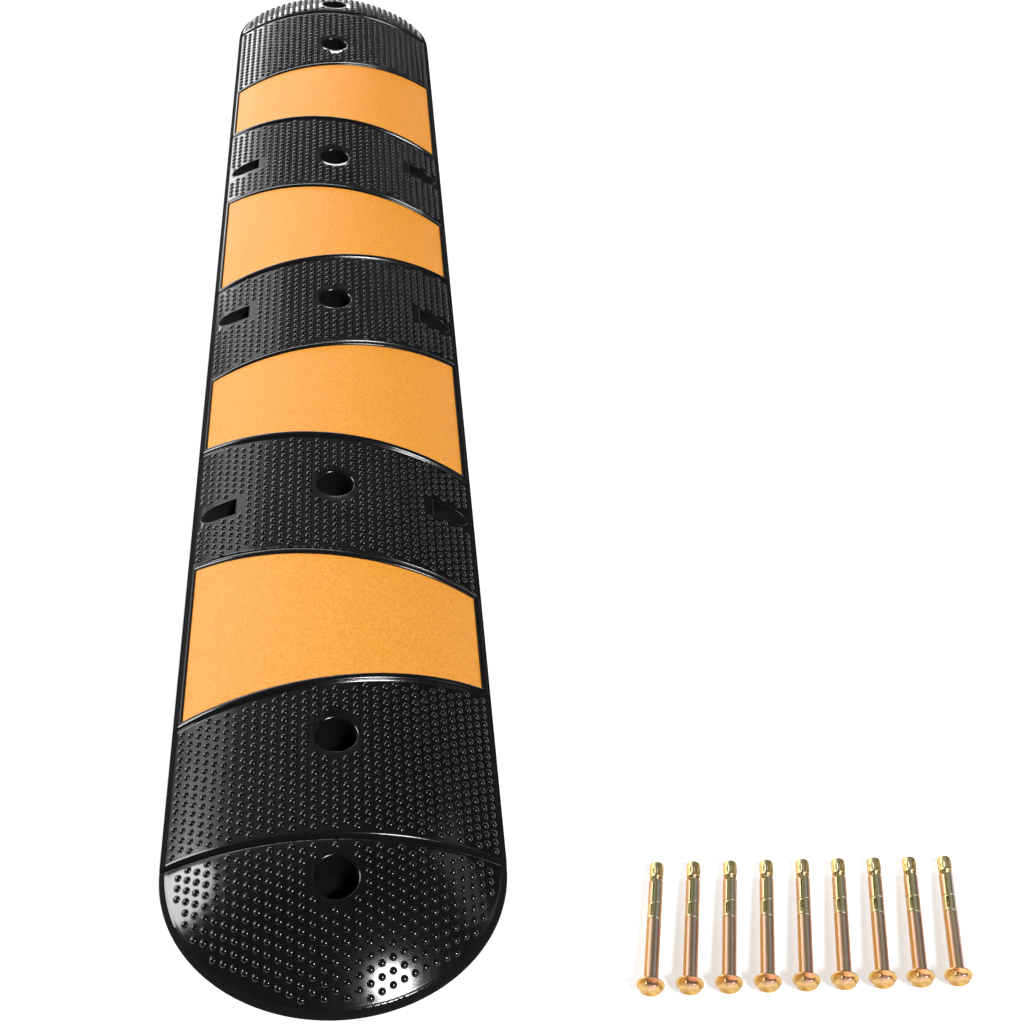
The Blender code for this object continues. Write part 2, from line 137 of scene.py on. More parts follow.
def mesh_object(name, points, faces):
    """A new object from a table of points and a list of faces."""
    mesh = bpy.data.meshes.new(name)
    mesh.from_pydata(np.asarray(points, float).reshape(-1, 3).tolist(), [], faces)
    mesh.validate()
    return new_object(name, mesh)


def read(items, key, width=1):
    """One value, or a row of them, for each of a mesh's vertices, corners or faces."""
    values = np.zeros(len(items) * width, np.int32 if width == 1 else float)
    items.foreach_get(key, values)
    return values if width == 1 else values.reshape(-1, width)


def grid_faces(rows, columns, wrap_rows=False, wrap_columns=False, start=0):
    """Quads of a grid of points kept row after row, closed round in either direction."""
    r = np.arange(rows if wrap_rows else rows - 1)
    c = np.arange(columns if wrap_columns else columns - 1)
    r, c = np.meshgrid(r, c, indexing="ij")
    r2, c2 = (r + 1) % rows, (c + 1) % columns
    quads = np.stack([r * columns + c, r * columns + c2, r2 * columns + c2, r2 * columns + c], -1)
    return (quads.reshape(-1, 4) + start).tolist()


def outward(item):
    """Turn all faces of a closed mesh outwards."""
    bm = bmesh.new()
    bm.from_mesh(item.data)
    bmesh.ops.remove_doubles(bm, verts=bm.verts, dist=1e-7)
    bmesh.ops.recalc_face_normals(bm, faces=bm.faces)
    bm.to_mesh(item.data)
    bm.free()
    return item


def carve(item, cutters, operation="DIFFERENCE"):
    """Cut the cutters from a piece, or join them to it, and drop them."""
    for cutter in cutters:
        modifier = item.modifiers.new("carve", "BOOLEAN")
        modifier.operation = operation
        modifier.solver = "EXACT"
        modifier.object = cutter
    bpy.context.view_layer.update()
    evaluated = item.evaluated_get(bpy.context.evaluated_depsgraph_get())
    mesh = bpy.data.meshes.new_from_object(evaluated)
    item.modifiers.clear()
    item.data = mesh
    for cutter in cutters:
        bpy.data.objects.remove(cutter, do_unlink=True)
    return item


def loft(name, rings):
    """Outlines with the same number of points, each joined to the next, closed at both ends."""
    count, n = len(rings), len(rings[0])
    faces = grid_faces(count, n, wrap_columns=True)
    faces += [list(range(n)), list(range((count - 1) * n, count * n))]
    return outward(mesh_object(name, rings, faces))


def smooth(item, degrees):
    """Shade smoothly over edges that bend by less than an angle."""
    item.data.shade_smooth()
    item.data.set_sharp_from_angle(angle=math.radians(degrees))
    return item


def dress(item, material, body, slot, *nodes):
    """Give a piece its material and body, and hide the CAD nodes it stands for; the slot is not used."""
    item.data.materials.clear()
    item.data.materials.append(material)
    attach(item, body)
    if nodes:
        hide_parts(*nodes)
    return item


def crown(x):
    """Height of the studded crown: an arc from edge to edge over the centre line."""
    return CROWN_HEIGHT - CROWN_RADIUS + np.sqrt(CROWN_RADIUS ** 2 - np.minimum(x ** 2, HALF_WIDTH ** 2))


def cap_depth(y):
    """How far past the body's end a place lies, with the caps' squeeze along the bump undone."""
    return np.maximum(np.abs(y) - HALF_LENGTH, 0.0) / CAP_SQUEEZE


def crown_at(x, y):
    """Height of the rubber between the studs, over the body and over the caps past its ends."""
    return crown(np.hypot(x, cap_depth(y))) - STUD_FLOOR


# ---------------------------------------------------------------- rubber pieces
# Distance out from a panel's seat against height over the crown: the seat, the rounded rib, the
# groove beside it, a bead, and the floor between the studs.
RIB_PROFILE = np.array([
    (-0.0010, -RECESS), (0.0000, -RECESS), (0.00015, -0.0009), (0.0004, 0.0002), (0.0008, 0.0008),
    (0.0015, 0.00125), (0.0025, 0.00148), (0.0035, RIB_HEIGHT), (0.0046, 0.00138), (0.0056, 0.00105),
    (0.0063, 0.0006), (0.0068, 0.0000), (0.0071, -0.0005), (0.0076, -0.0007), (0.0080, -0.0003),
    (0.0083, 0.0002), (0.0087, 0.0004), (0.0092, 0.0002), (0.0096, -0.0003), (0.0101, -STUD_FLOOR),
    (0.0108, -STUD_FLOOR)])
ROW_SPACING = 0.02             # longest step between the body's cross lines
STRAIGHT_ROW = 0.005           # how far in from its ends the body's cross lines stay square to it
EDGE_ROUNDING = 0.0013         # fall of the rounded long edges
EDGE_MARGIN = 0.0016           # what is left for it beside the ribs
FOOT = 0.0006                  # bevel where the sides meet the road
INNER_COLUMNS = 34             # columns from the middle out to the ribs
INNER_MARGIN = 0.0012          # how far the last of them stops short of the seat's edge
# Distance from the joint between body and cap against fall of the rubber there.
END_DROP = np.array([(0.0, -0.0058), (0.0006, -0.0044), (0.0014, -0.0027), (0.0023, -0.0012),
                     (0.0032, -0.0003), (0.0042, 0.0)])


def body_rows():
    """Cross lines along the body, each a place on the centre line and a slant, dense at the ribs."""
    rounding = END_DROP[1:, 0]
    steps = RIB_PROFILE[::-1, 0]
    rows = [(-HALF_LENGTH, 0.0), *[(-HALF_LENGTH + step, 0.0) for step in rounding],
            (-HALF_LENGTH + STRAIGHT_ROW, 0.0)]
    for near, near_slant, far, far_slant in panel_bands():
        rows += [(near - JOINT_GAP - step, near_slant) for step in steps]
        rows += [(far + JOINT_GAP + step, far_slant) for step in steps[::-1]]
    rows += [(HALF_LENGTH - STRAIGHT_ROW, 0.0), *[(HALF_LENGTH - step, 0.0) for step in rounding[::-1]],
             (HALF_LENGTH, 0.0)]
    filled = []
    for (y0, s0), (y1, s1) in zip(rows, rows[1:]):
        count = max(1, round((y1 - y0) / ROW_SPACING))
        t = np.arange(count) / count
        filled += list(zip(y0 + (y1 - y0) * t, s0 + (s1 - s0) * t))
    filled.append(rows[-1])
    return np.array(filled)


def end_rounding(distance):
    """How far the top falls away at the joint between body and cap."""
    return np.interp(distance, END_DROP[:, 0], END_DROP[:, 1])


def drop_share(height):
    """The joint's rounding is full on the crown and shallower where the rubber is thin."""
    return np.clip((height - EDGE_HEIGHT) / 0.012 + 0.30, 0.0, 1.0)


def long_edge(rows, last, surface, side):
    """One side of the body: from the crown's last column over a rounded edge down to the road."""
    turns = [math.radians(turn) for turn in (30, 60, 90)]
    places = [(last + (HALF_WIDTH - last) * math.sin(a), surface - EDGE_ROUNDING * (1 - math.cos(a)))
              for a in turns]
    places += [(HALF_WIDTH, FOOT), (HALF_WIDTH - FOOT, 0.0)]
    return [np.stack([np.full(len(rows), side * reach), rows[:, 0] + rows[:, 1] * side * reach,
                      np.broadcast_to(height, len(rows))], -1) for reach, height in places]


def body_shell():
    """The crown's arc carried along the body, with every rib, groove and panel seat added to its
    height as a function of the distance out from the nearest panel; long edges are rounded."""
    rows = body_rows()
    side = PANEL_HALF_WIDTH + JOINT_GAP
    steps = RIB_PROFILE[RIB_PROFILE[:, 0] < HALF_WIDTH - side - EDGE_MARGIN, 0]
    x = np.concatenate([np.linspace(0, side - INNER_MARGIN, INNER_COLUMNS), side + steps[1:]])
    x = np.concatenate([-x[:0:-1], x])
    y = rows[:, :1] + rows[:, 1:] * x
    distance = np.maximum(from_panels(x, y) - JOINT_GAP, np.abs(x) - side)
    offset = np.interp(distance, RIB_PROFILE[:, 0], RIB_PROFILE[:, 1])
    ends = end_rounding(np.minimum(y + HALF_LENGTH, HALF_LENGTH - y))
    z = crown(x) + offset + ends * drop_share(crown(x))
    points = np.stack([np.broadcast_to(x, y.shape), y, z], -1)
    left = long_edge(rows, x[-1], z[:, 0], -1)
    right = long_edge(rows, x[-1], z[:, -1], 1)
    loop = np.concatenate([np.stack(left[::-1], 1), points, np.stack(right, 1)], 1)
    return loft("speed_bump_body_moulding", loop)


def socket_cutter(name, y):
    """Profile turned round the hole's axis: a flared lip that follows the rubber's surface, an
    upright wall, the flange's seat and the narrow hole."""
    steps = 72
    angle = np.arange(steps) * 2 * math.pi / steps
    turn = np.radians([0, 15, 30, 45, 60])
    # Each place is a radius, a height, and one where the height counts from the rubber's surface.
    lip = [(SOCKET_RADIUS + LIP * (1 - math.cos(a)), -LIP * (1 - math.sin(a)) + 0.0001, 1) for a in turn]
    flare = lip[-1][0] + 0.006
    profile = [(0.0005, OVERRUN, 1), (flare, OVERRUN, 1), (flare, lip[-1][1] + 0.0035, 1), *lip[::-1],
               (SOCKET_RADIUS, SEAT_HEIGHT + 0.0015, 0), (SOCKET_RADIUS - 0.0004, SEAT_HEIGHT + 0.0004, 0),
               (SOCKET_RADIUS - 0.0015, SEAT_HEIGHT, 0), (HOLE_RADIUS + 0.001, SEAT_HEIGHT, 0),
               (HOLE_RADIUS, SEAT_HEIGHT - 0.001, 0), (HOLE_RADIUS, -OVERRUN, 0), (0.0005, -OVERRUN, 0)]
    radius, height, follows = np.array(profile).T
    x = radius * np.cos(angle)[:, None]
    yy = y + radius * np.sin(angle)[:, None]
    points = np.stack([x, yy, np.where(follows > 0, crown_at(x, yy), 0.0) + height], -1)
    n = len(profile)
    faces = grid_faces(steps, n, wrap_rows=True)
    faces += [[k * n for k in range(steps)], [k * n + n - 1 for k in range(steps)]]
    return outward(mesh_object(name, points, faces))


def pocket_cutter(name, side, y):
    """A trough across the slope: half-round floor, with an upright inner wall whose foot is rounded."""
    middle = POCKET_FLOOR + POCKET_RADIUS
    angle = np.linspace(math.pi, 2 * math.pi, 25)
    across = np.concatenate([[-POCKET_RADIUS], POCKET_RADIUS * np.cos(angle), [POCKET_RADIUS]])
    height = np.concatenate([[TOP + OVERRUN], middle + POCKET_RADIUS * np.sin(angle), [TOP + OVERRUN]])
    stations = [(POCKET_INNER, 0.0012), (POCKET_INNER + 0.0003, 0.0005), (POCKET_INNER + 0.001, 0.0001),
                (POCKET_INNER + 0.002, 0.0), (HALF_WIDTH + OVERRUN, 0.0)]
    rings = []
    for x, pinch in stations:
        share = 1 - pinch / POCKET_RADIUS
        rings.append(np.stack([np.full(len(across), side * x), y + across * share,
                               np.where(height < TOP, middle + (height - middle) * share, height)], 1))
    return loft(name, rings)


def channel_cutter(name, side):
    """A half-round roofed channel, open underneath, drawn along the body."""
    outline = [(side * CHANNEL_OFFSET + CHANNEL_RADIUS * math.cos(a),
                CHANNEL_SPRING + CHANNEL_RADIUS * math.sin(a)) for a in np.linspace(math.pi, 0, 21)]
    outline = [(outline[0][0], -OVERRUN), *outline, (outline[-1][0], -OVERRUN)]
    reach = HALF_LENGTH + OVERRUN
    return loft(name, [[(x, y, z) for x, z in outline] for y in (-reach, reach)])


def tongue(name, end, root, clearance, low):
    """The dovetail, drawn upwards: from its root in the cap to its wide end under the body."""
    neck = TONGUE_NECK + clearance
    wide = TONGUE_WIDE + clearance
    tip = end * (HALF_LENGTH - TONGUE_LENGTH - clearance)
    joint = end * HALF_LENGTH
    start = end * (HALF_LENGTH + root)
    outline = [(-neck, start), (neck, start), (neck, joint), (wide, tip), (-wide, tip), (-neck, joint)]
    return loft(name, [[(x, y, z) for x, y in outline] for z in (low, TONGUE_HEIGHT + clearance)])


def pocket_lips():
    """A fine round bead carried along the top edge of each pocket: where the trough's half-round
    outline meets the crown, and across the inner wall."""
    middle = POCKET_FLOOR + POCKET_RADIUS
    x = np.linspace(POCKET_INNER, HALF_WIDTH, 400)
    x = x[crown(x) > POCKET_FLOOR]
    x = x[0] + (x[-1] - x[0]) * np.sin(np.linspace(0, 1, 26) * math.pi / 2)
    below = np.clip(middle - crown(x), 0.0, POCKET_RADIUS)
    half = np.sqrt(np.maximum(POCKET_RADIUS ** 2 - below ** 2, 0.0))
    wall = np.linspace(-1, 1, 9)[1:-1] * POCKET_RADIUS
    path_x = np.concatenate([x[::-1], np.full(len(wall), POCKET_INNER), x[:-1]])
    path_y = np.concatenate([-half[::-1], wall, half[:-1]])
    ring = np.arange(8) * math.pi / 4
    points, faces = [], []
    for side in (-1, 1):
        for y in POCKET_PLACES:
            path = np.stack([side * path_x, path_y + y, crown(path_x) - STUD_FLOOR - LIP_SINK], 1)
            along = np.roll(path, -1, 0) - np.roll(path, 1, 0)
            along /= np.linalg.norm(along, axis=1)[:, None]
            beside = np.cross(along, [0.0, 0.0, 1.0])
            beside /= np.linalg.norm(beside, axis=1)[:, None]
            above = np.cross(beside, along)
            loops = (path[:, None] + LIP_BEAD * (np.cos(ring)[None, :, None] * beside[:, None]
                                                 + np.sin(ring)[None, :, None] * above[:, None]))
            faces += grid_faces(len(path), len(ring), True, True, start=sum(map(len, points)))
            points.append(loops.reshape(-1, 3))
    return smooth(outward(mesh_object("pocket_lips", np.concatenate(points), faces)), 70)


def make_body_moulding():
    """The body with its sockets, pockets, cable channels and the seats of the caps' tongues cut."""
    body = body_shell()
    cutters = [socket_cutter(f"cut_socket_{i}", y) for i, y in enumerate(BODY_HOLES)]
    cutters += [pocket_cutter(f"cut_pocket_{i}_{side}", side, y)
                for i, y in enumerate(POCKET_PLACES) for side in (-1, 1)]
    cutters += [channel_cutter(f"cut_channel_{side}", side) for side in (-1, 1)]
    cutters += [tongue(f"cut_tongue_{end}", end, OVERRUN, JOINT_GAP, -OVERRUN) for end in (-1, 1)]
    return smooth(carve(body, cutters), 42)


RIM_START = 0.1450
RIM_END = 0.1484               # from here the cap's edge is rounded down to the road
# Distance from the cap's middle against height over the crown.
CAP_FALL = np.array([(0.0, -STUD_FLOOR), (RIM_START - 0.0012, -STUD_FLOOR), (RIM_START - 0.0006, -0.0002),
                     (RIM_START, 0.0), (RIM_START + 0.0008, -0.0002), (RIM_END, -0.0006)])


def cap_height(reach):
    """The studs' floor out to a low rim that stands over it, then the rounded edge."""
    rim = np.clip((reach - RIM_END) / (HALF_WIDTH - RIM_END), 0, 1)
    edge = crown(np.minimum(reach, RIM_END)) + np.interp(reach, CAP_FALL[:, 0], CAP_FALL[:, 1])
    return np.maximum(edge * np.sqrt(np.clip(1 - rim ** 2, 0, 1)), 0.0)


def make_cap_moulding(name, end):
    """The crown's arc turned about the joint's middle and squeezed along the bump: a grid of
    chords side by side from the joint's face to the tip, closed by a flat face and underside."""
    face_at = JOINT_GAP / CAP_SQUEEZE
    t = np.linspace(0, 1, 57)[1:-1]
    rounded = END_DROP[-1, 0] + face_at
    rows = np.concatenate([END_DROP[:, 0] + face_at,
                           rounded + (HALF_WIDTH - rounded) * np.sin(t * math.pi / 2), [HALF_WIDTH]])
    u = np.sin(np.linspace(-1, 1, 97) * math.pi / 2)
    half = np.sqrt(np.maximum(HALF_WIDTH ** 2 - rows ** 2, 1e-10))
    x = half[:, None] * u[None, :]
    reach = np.hypot(x, rows[:, None])
    z = cap_height(reach)
    z = np.maximum(z + end_rounding(rows - face_at)[:, None] * drop_share(z), 0.3 * z)
    z[:, 0] = 0.0
    z[:, -1] = 0.0
    z[-1, :] = 0.0
    y = np.broadcast_to((end * (HALF_LENGTH + rows * CAP_SQUEEZE))[:, None], x.shape)
    points = np.stack([x, y, z], -1)[:-1]
    count = points.shape[1]
    total = len(points)
    tip = [[0.0, end * CAP_TIP, 0.0]]
    flat = np.concatenate([points.reshape(-1, 3), tip])
    faces = grid_faces(total, count)
    last = (total - 1) * count
    faces += [[last + c, last + c + 1, total * count] for c in range(count - 1)]
    faces.append([last, last + count - 1, total * count])
    faces += [[r * count, r * count + count - 1, (r + 1) * count + count - 1, (r + 1) * count]
              for r in range(total - 1)]
    faces.append(list(range(count)))
    cap = outward(mesh_object(name, flat, faces))
    carve(cap, [tongue(f"add_{name}", end, TONGUE_ROOT, 0.0, 0.0)], "UNION")
    carve(cap, [socket_cutter(f"cut_{name}", end * CAP_HOLE)])
    return smooth(cap, 42)


# ---------------------------------------------------------------- studs
# Plain rubber left between a stud's foot and each thing it keeps clear of.
CLEAR_OF_EDGE = 0.0030
CLEAR_OF_PANEL = 0.0098
CLEAR_OF_SOCKET = 0.0012
CLEAR_OF_POCKET = 0.0012
CLEAR_OF_POCKET_WALL = 0.0042
CLEAR_OF_JOINT = 0.0046
CLEAR_OF_RIM = 0.0016


def stud_places(settings):
    """Centres of the studs: columns evenly spaced along the crown's arc, each one's studs evenly
    spaced along the bump and every other column moved by half a step."""
    across = settings.stud_column_spacing
    along = settings.stud_spacing
    columns = int(CROWN_RADIUS * math.asin(HALF_WIDTH / CROWN_RADIUS) / across)
    column = np.arange(-columns, columns + 1)
    count = int((CAP_TIP + 0.01) / along)
    row = np.arange(-count, count + 1)
    x = np.repeat(CROWN_RADIUS * np.sin(column * across / CROWN_RADIUS), len(row))
    shift = np.repeat(np.abs(column) % 2 * 0.5, len(row))
    y = (np.tile(row, len(column)) + shift) * along
    radius = settings.stud_radius
    keep = np.abs(x) < HALF_WIDTH - CLEAR_OF_EDGE - radius
    keep &= from_panels(x, y) > CLEAR_OF_PANEL + radius
    for middle in (*BODY_HOLES, -CAP_HOLE, CAP_HOLE):
        keep &= np.hypot(x, y - middle) > SOCKET_RADIUS + LIP + CLEAR_OF_SOCKET + radius
    for middle in POCKET_PLACES:
        inward = POCKET_INNER - CLEAR_OF_POCKET_WALL - np.abs(x)
        beside = np.abs(y - middle) - POCKET_RADIUS - CLEAR_OF_POCKET
        keep &= np.hypot(np.maximum(inward, 0.0), np.maximum(beside, 0.0)) > radius
    keep &= np.abs(np.abs(y) - HALF_LENGTH) > CLEAR_OF_JOINT + radius
    keep &= (np.abs(y) < HALF_LENGTH) | (np.hypot(x, cap_depth(y)) < RIM_START - CLEAR_OF_RIM - radius)
    return np.stack([x[keep], y[keep]], 1)


# A stud's rings as shares of its radius and its height: a steep foot, then a rounded top.
STUD_PROFILE = np.array([(1.0, -0.30), (0.94, 0.26), (0.72, 0.66), (0.38, 0.92)])


def stud_field(name, places, settings):
    """A steep-sided dome at each place, standing square to the crown."""
    sides = 10
    angle = np.arange(sides) * 2 * math.pi / sides
    ring_r, ring_z = (STUD_PROFILE * (settings.stud_radius, settings.stud_height)).T
    local = np.stack([ring_r[:, None] * np.cos(angle), ring_r[:, None] * np.sin(angle),
                      np.broadcast_to(ring_z[:, None], (len(ring_z), sides))], -1).reshape(-1, 3)
    local = np.concatenate([local, [[0, 0, settings.stud_height]]])
    x, y = places.T
    past = np.sign(y) * cap_depth(y)
    normal = np.stack([x, past, np.sqrt(CROWN_RADIUS ** 2 - x ** 2 - past ** 2)], 1) / CROWN_RADIUS
    first = np.cross(np.broadcast_to([0.0, 1.0, 0.0], normal.shape), normal)
    first /= np.linalg.norm(first, axis=1)[:, None]
    centre = np.stack([x, y, crown_at(x, y)], 1)
    points = centre[:, None, :]
    for part, axis in enumerate((first, np.cross(normal, first), normal)):
        points = points + local[None, :, part:part + 1] * axis[:, None, :]
    each = len(local)
    one = grid_faces(len(ring_z), sides, wrap_columns=True)
    top = (len(ring_z) - 1) * sides
    one += [[top + k, top + (k + 1) % sides, each - 1] for k in range(sides)]
    one.append(list(range(sides))[::-1])
    faces = [[v + k * each for v in face] for k in range(len(places)) for face in one]
    return smooth(mesh_object(name, points, faces), 80)


# ---------------------------------------------------------------- reflective panels
# Distance in from a film's border against fall of its rounded rim.
FILM_RIM = np.array([(0.0, 0.00035), (0.0002, 0.00014), (0.0005, 0.00003), (0.0010, 0.0)])
FILM_DROP = 0.00006            # how far the film's face lies under the crown
FILM_WAVE = 0.00003


def film_steps(low, high, count):
    """Places across a film, with the rounded rim's own ones at both ends."""
    rim = FILM_RIM[:, 0]
    return np.concatenate([low + rim, np.linspace(low, high, count)[1:-1], high - rim[::-1]])


def panel_sheet(name, band):
    """A thin sheet bent to the crown between two slanting ends; its rim is rounded, and its face
    rises and falls by a few hundredths of a millimetre, as film laid by hand does."""
    near, near_slant, far, far_slant = band
    u = film_steps(-PANEL_HALF_WIDTH, PANEL_HALF_WIDTH, 66)
    v = film_steps(0, PANEL_LENGTH, 40)
    x = np.broadcast_to(u, (len(v), len(u)))
    start = near + near_slant * u
    finish = far + far_slant * u
    y = start + (finish - start) * (v / PANEL_LENGTH)[:, None]
    edge = np.minimum(PANEL_HALF_WIDTH - np.abs(x), np.minimum(v, PANEL_LENGTH - v)[:, None])
    fall = np.interp(edge, FILM_RIM[:, 0], FILM_RIM[:, 1])
    long_wave = np.sin(x * 61 + y * 23) * np.sin(y * 83 - x * 37)
    short_wave = np.sin(x * 143 + 1.3) * np.sin(y * 167)
    top = np.stack([x, y, crown(x) - FILM_DROP + (long_wave + short_wave) * FILM_WAVE - fall], -1)
    bottom = np.stack([x, y, crown(x) - PANEL_THICKNESS], -1)
    n = x.size
    faces = grid_faces(*x.shape) + grid_faces(*x.shape, start=n)
    index = np.arange(n).reshape(x.shape)
    border = np.concatenate([index[0, :], index[1:, -1], index[-1, -2::-1], index[-2:0:-1, 0]])
    following = np.roll(border, -1)
    faces += np.stack([border, following, following + n, border + n], 1).tolist()
    return smooth(outward(mesh_object(name, np.stack([top, bottom]), faces)), 50)


# ---------------------------------------------------------------- sleeve anchors
HEX_FLAT = 0.0085
HEAD_TOP = 0.0079              # height of the bolt's head over its end face
FLANGE_RADIUS = 0.01175
FLANGE_PLACE = 0.0064          # where along the anchor its flange touches the ground
SHANK_RADIUS = 0.0045
SPACER = (0.0081, 0.0681)
CRUSH = (0.0684, 0.0844)
EXPANSION = (0.0847, 0.1087)
NUT = (0.1122, ANCHOR_LENGTH)
NUT_BORE = 0.00497
FLUTES = 18
FLUTE_DEPTH = 0.00042
THREAD_PITCH = 0.0015
THREAD_START = 0.0655
THREAD_ROOT = 0.0042
THREAD_RIDGE = 0.00070
GROOVE_TOP = 0.00475           # radius from which painted shade darkens the thread inwards, and over how much
GROOVE_FADE = 0.0005
SEAM_AT = -math.pi / 2
SEAM_HALF = 0.0006
NOTCH = 0.0035                 # depth and half width of the V in the expansion sleeve
TAB_HALF = 0.0025
TAB_LENGTH = 0.003
TAB_SLOPE = 0.00025
WALL_ROUNDING = 0.00022
WINDOW_HALF = 0.0016
WINDOW_MARGIN = 0.0020
WINDOW_REACH = 0.012
DENT_PLACE = 0.014             # from the spacer's near end
DENT_HALF = (0.0011, 0.0022)
DENT_DEPTH = 0.00035
DENT_ABOVE = 0.0058            # only the wall's outside, beyond this radius, is pressed in
ANCHOR_ROLL = math.radians(-28)


def around(steps, *extra):
    """Angles round a full turn, with added ones where an edge has to fall."""
    angles = np.concatenate([np.arange(steps) * 2 * math.pi / steps, np.array(extra) % (2 * math.pi)])
    return np.unique(np.round(angles, 6))


def turned_table(theta, radius, height):
    """Points of a surface whose radius and height are given for each angle and profile place."""
    return np.stack([radius * np.cos(theta)[:, None], radius * np.sin(theta)[:, None],
                     np.broadcast_to(height, radius.shape)], -1)


def ring_shape(points):
    """A turned table as points and faces, closed round the axis and round its own profile."""
    return points.reshape(-1, 3), grid_faces(*points.shape[:2], wrap_rows=True, wrap_columns=True)


def closed_turn(points, first_pole, last_pole, start=0):
    """Faces of a turned grid closed by a pole at each end, with the two poles after its points."""
    rows, columns = points.shape[:2]
    faces = grid_faces(rows, columns, wrap_rows=True, start=start)
    k = start + np.arange(rows) * columns
    nxt = start + (np.arange(rows) + 1) % rows * columns
    for pole, shift in enumerate((0, columns - 1)):
        faces += np.stack([k + shift, nxt + shift, np.full(rows, start + rows * columns + pole)], 1).tolist()
    return np.concatenate([points.reshape(-1, 3), [first_pole, last_pole]]), faces


def bolt_master():
    """Head: a hexagon's radius against angle, limited by a chamfer cone, then flange and shank.
    Thread: a ridge whose place along the bolt grows by one pitch in each turn."""
    theta = around(72)
    sector = (theta + math.pi / 6) % (math.pi / 3) - math.pi / 6
    hexagon = HEX_FLAT / np.cos(sector)
    # Each place is a radius, a height, and one where the hexagon cuts the radius down.
    head = [(0.0035, 0.0006, 0), (0.0060, 0.0004, 0), (0.0064, 0.0001, 0), (0.0079, 0.0, 0),
            (0.0084, 0.0003, 1), (0.0092, 0.0008, 1), (0.0100, 0.0016, 1), (0.0100, 0.0044, 1),
            (0.0100, 0.0050, 1), (0.0102, 0.0053, 0), (0.0113, 0.0052, 0), (0.01168, 0.0054, 0),
            (FLANGE_RADIUS, 0.0058, 0), (0.01168, 0.0062, 0), (0.0113, 0.0064, 0), (0.0104, 0.0069, 0),
            (0.0078, 0.0077, 0), (0.0062, 0.0078, 0), (SHANK_RADIUS, 0.0078, 0), (SHANK_RADIUS, 0.0300, 0),
            (SHANK_RADIUS, THREAD_START, 0), (0.0043, THREAD_START + 0.0006, 0)]
    radius, height, hexed = np.array(head).T
    radius = np.where(hexed > 0, np.minimum(radius, hexagon[:, None]), radius)
    points = turned_table(theta, radius, height)
    flat, faces = closed_turn(points, (0, 0, 0.0006), (0, 0, THREAD_START + 0.0006))
    turns = around(28)
    z = np.arange(THREAD_START - 0.003, ANCHOR_LENGTH - 0.0001, THREAD_PITCH / 6)
    phase = (z / THREAD_PITCH - turns[:, None] / (2 * math.pi)) % 1.0
    # One turn's section: a flat crest in the middle, straight flanks and a narrow root.
    ridge = np.clip(1.25 - np.abs(phase - 0.5) * 3.2, 0, 1)
    fade = np.clip((z - THREAD_START) / 0.002, 0, 1) * np.clip((ANCHOR_LENGTH - z) / 0.0012, 0, 1)
    thread = turned_table(turns, THREAD_ROOT + THREAD_RIDGE * ridge * fade, z)
    more, more_faces = closed_turn(thread, (0, 0, z[0]), (0, 0, z[-1]), start=len(flat))
    return np.concatenate([flat, more]), faces + more_faces


def tab_mask(theta, half):
    """One over the two tabs, nothing between them, with a short slope at each tab's corner."""
    reach = np.abs((theta + math.pi / 2) % math.pi - math.pi / 2) * SLEEVE_OUTER
    return np.clip((half + TAB_SLOPE - reach) / (2 * TAB_SLOPE), 0, 1)


def tab_angles(half):
    """Angles where the slopes at the two tabs' corners start and end."""
    edges = [(half - TAB_SLOPE) / SLEEVE_OUTER, (half + TAB_SLOPE) / SLEEVE_OUTER]
    return [side * edge + turn for edge in edges for side in (-1, 1) for turn in (0.0, math.pi)]


def tube(theta, low, high):
    """A sleeve's wall carried round a full turn, with its ends' places given for each angle: out
    along the outside and back along the inside, its corners rounded."""
    e = WALL_ROUNDING
    along = [(0.0, e), *[(share, 0.0) for share in np.linspace(0, 1, 9)[1:-1]], (1.0, -e)]
    share, shift = np.array([(0.0, 0.0)] * 2 + along + [(1.0, 0.0)] * 2 + along[::-1]).T
    radii = np.array([SLEEVE_INNER + e, SLEEVE_OUTER - e] + [SLEEVE_OUTER] * len(along)
                     + [SLEEVE_OUTER - e, SLEEVE_INNER + e] + [SLEEVE_INNER] * len(along))
    z = low[:, None] + (high - low)[:, None] * share + shift
    return ring_shape(turned_table(theta, np.broadcast_to(radii, z.shape), z))


def spacer_master():
    """A plain tube whose far end is cut back where its neighbour's tabs reach in."""
    half = TAB_HALF + JOINT_GAP
    theta = around(40, *tab_angles(half))
    far_end = SPACER[1] - TAB_LENGTH * tab_mask(theta, half)
    points, faces = tube(theta, np.full(theta.shape, SPACER[0]), far_end)
    return dented(points), faces


def crush_master():
    """A short tube with two tabs at each end; the window is cut from it afterwards."""
    theta = around(40, *tab_angles(TAB_HALF))
    mask = TAB_LENGTH * tab_mask(theta, TAB_HALF)
    return tube(theta, CRUSH[0] - mask, CRUSH[1] + mask)


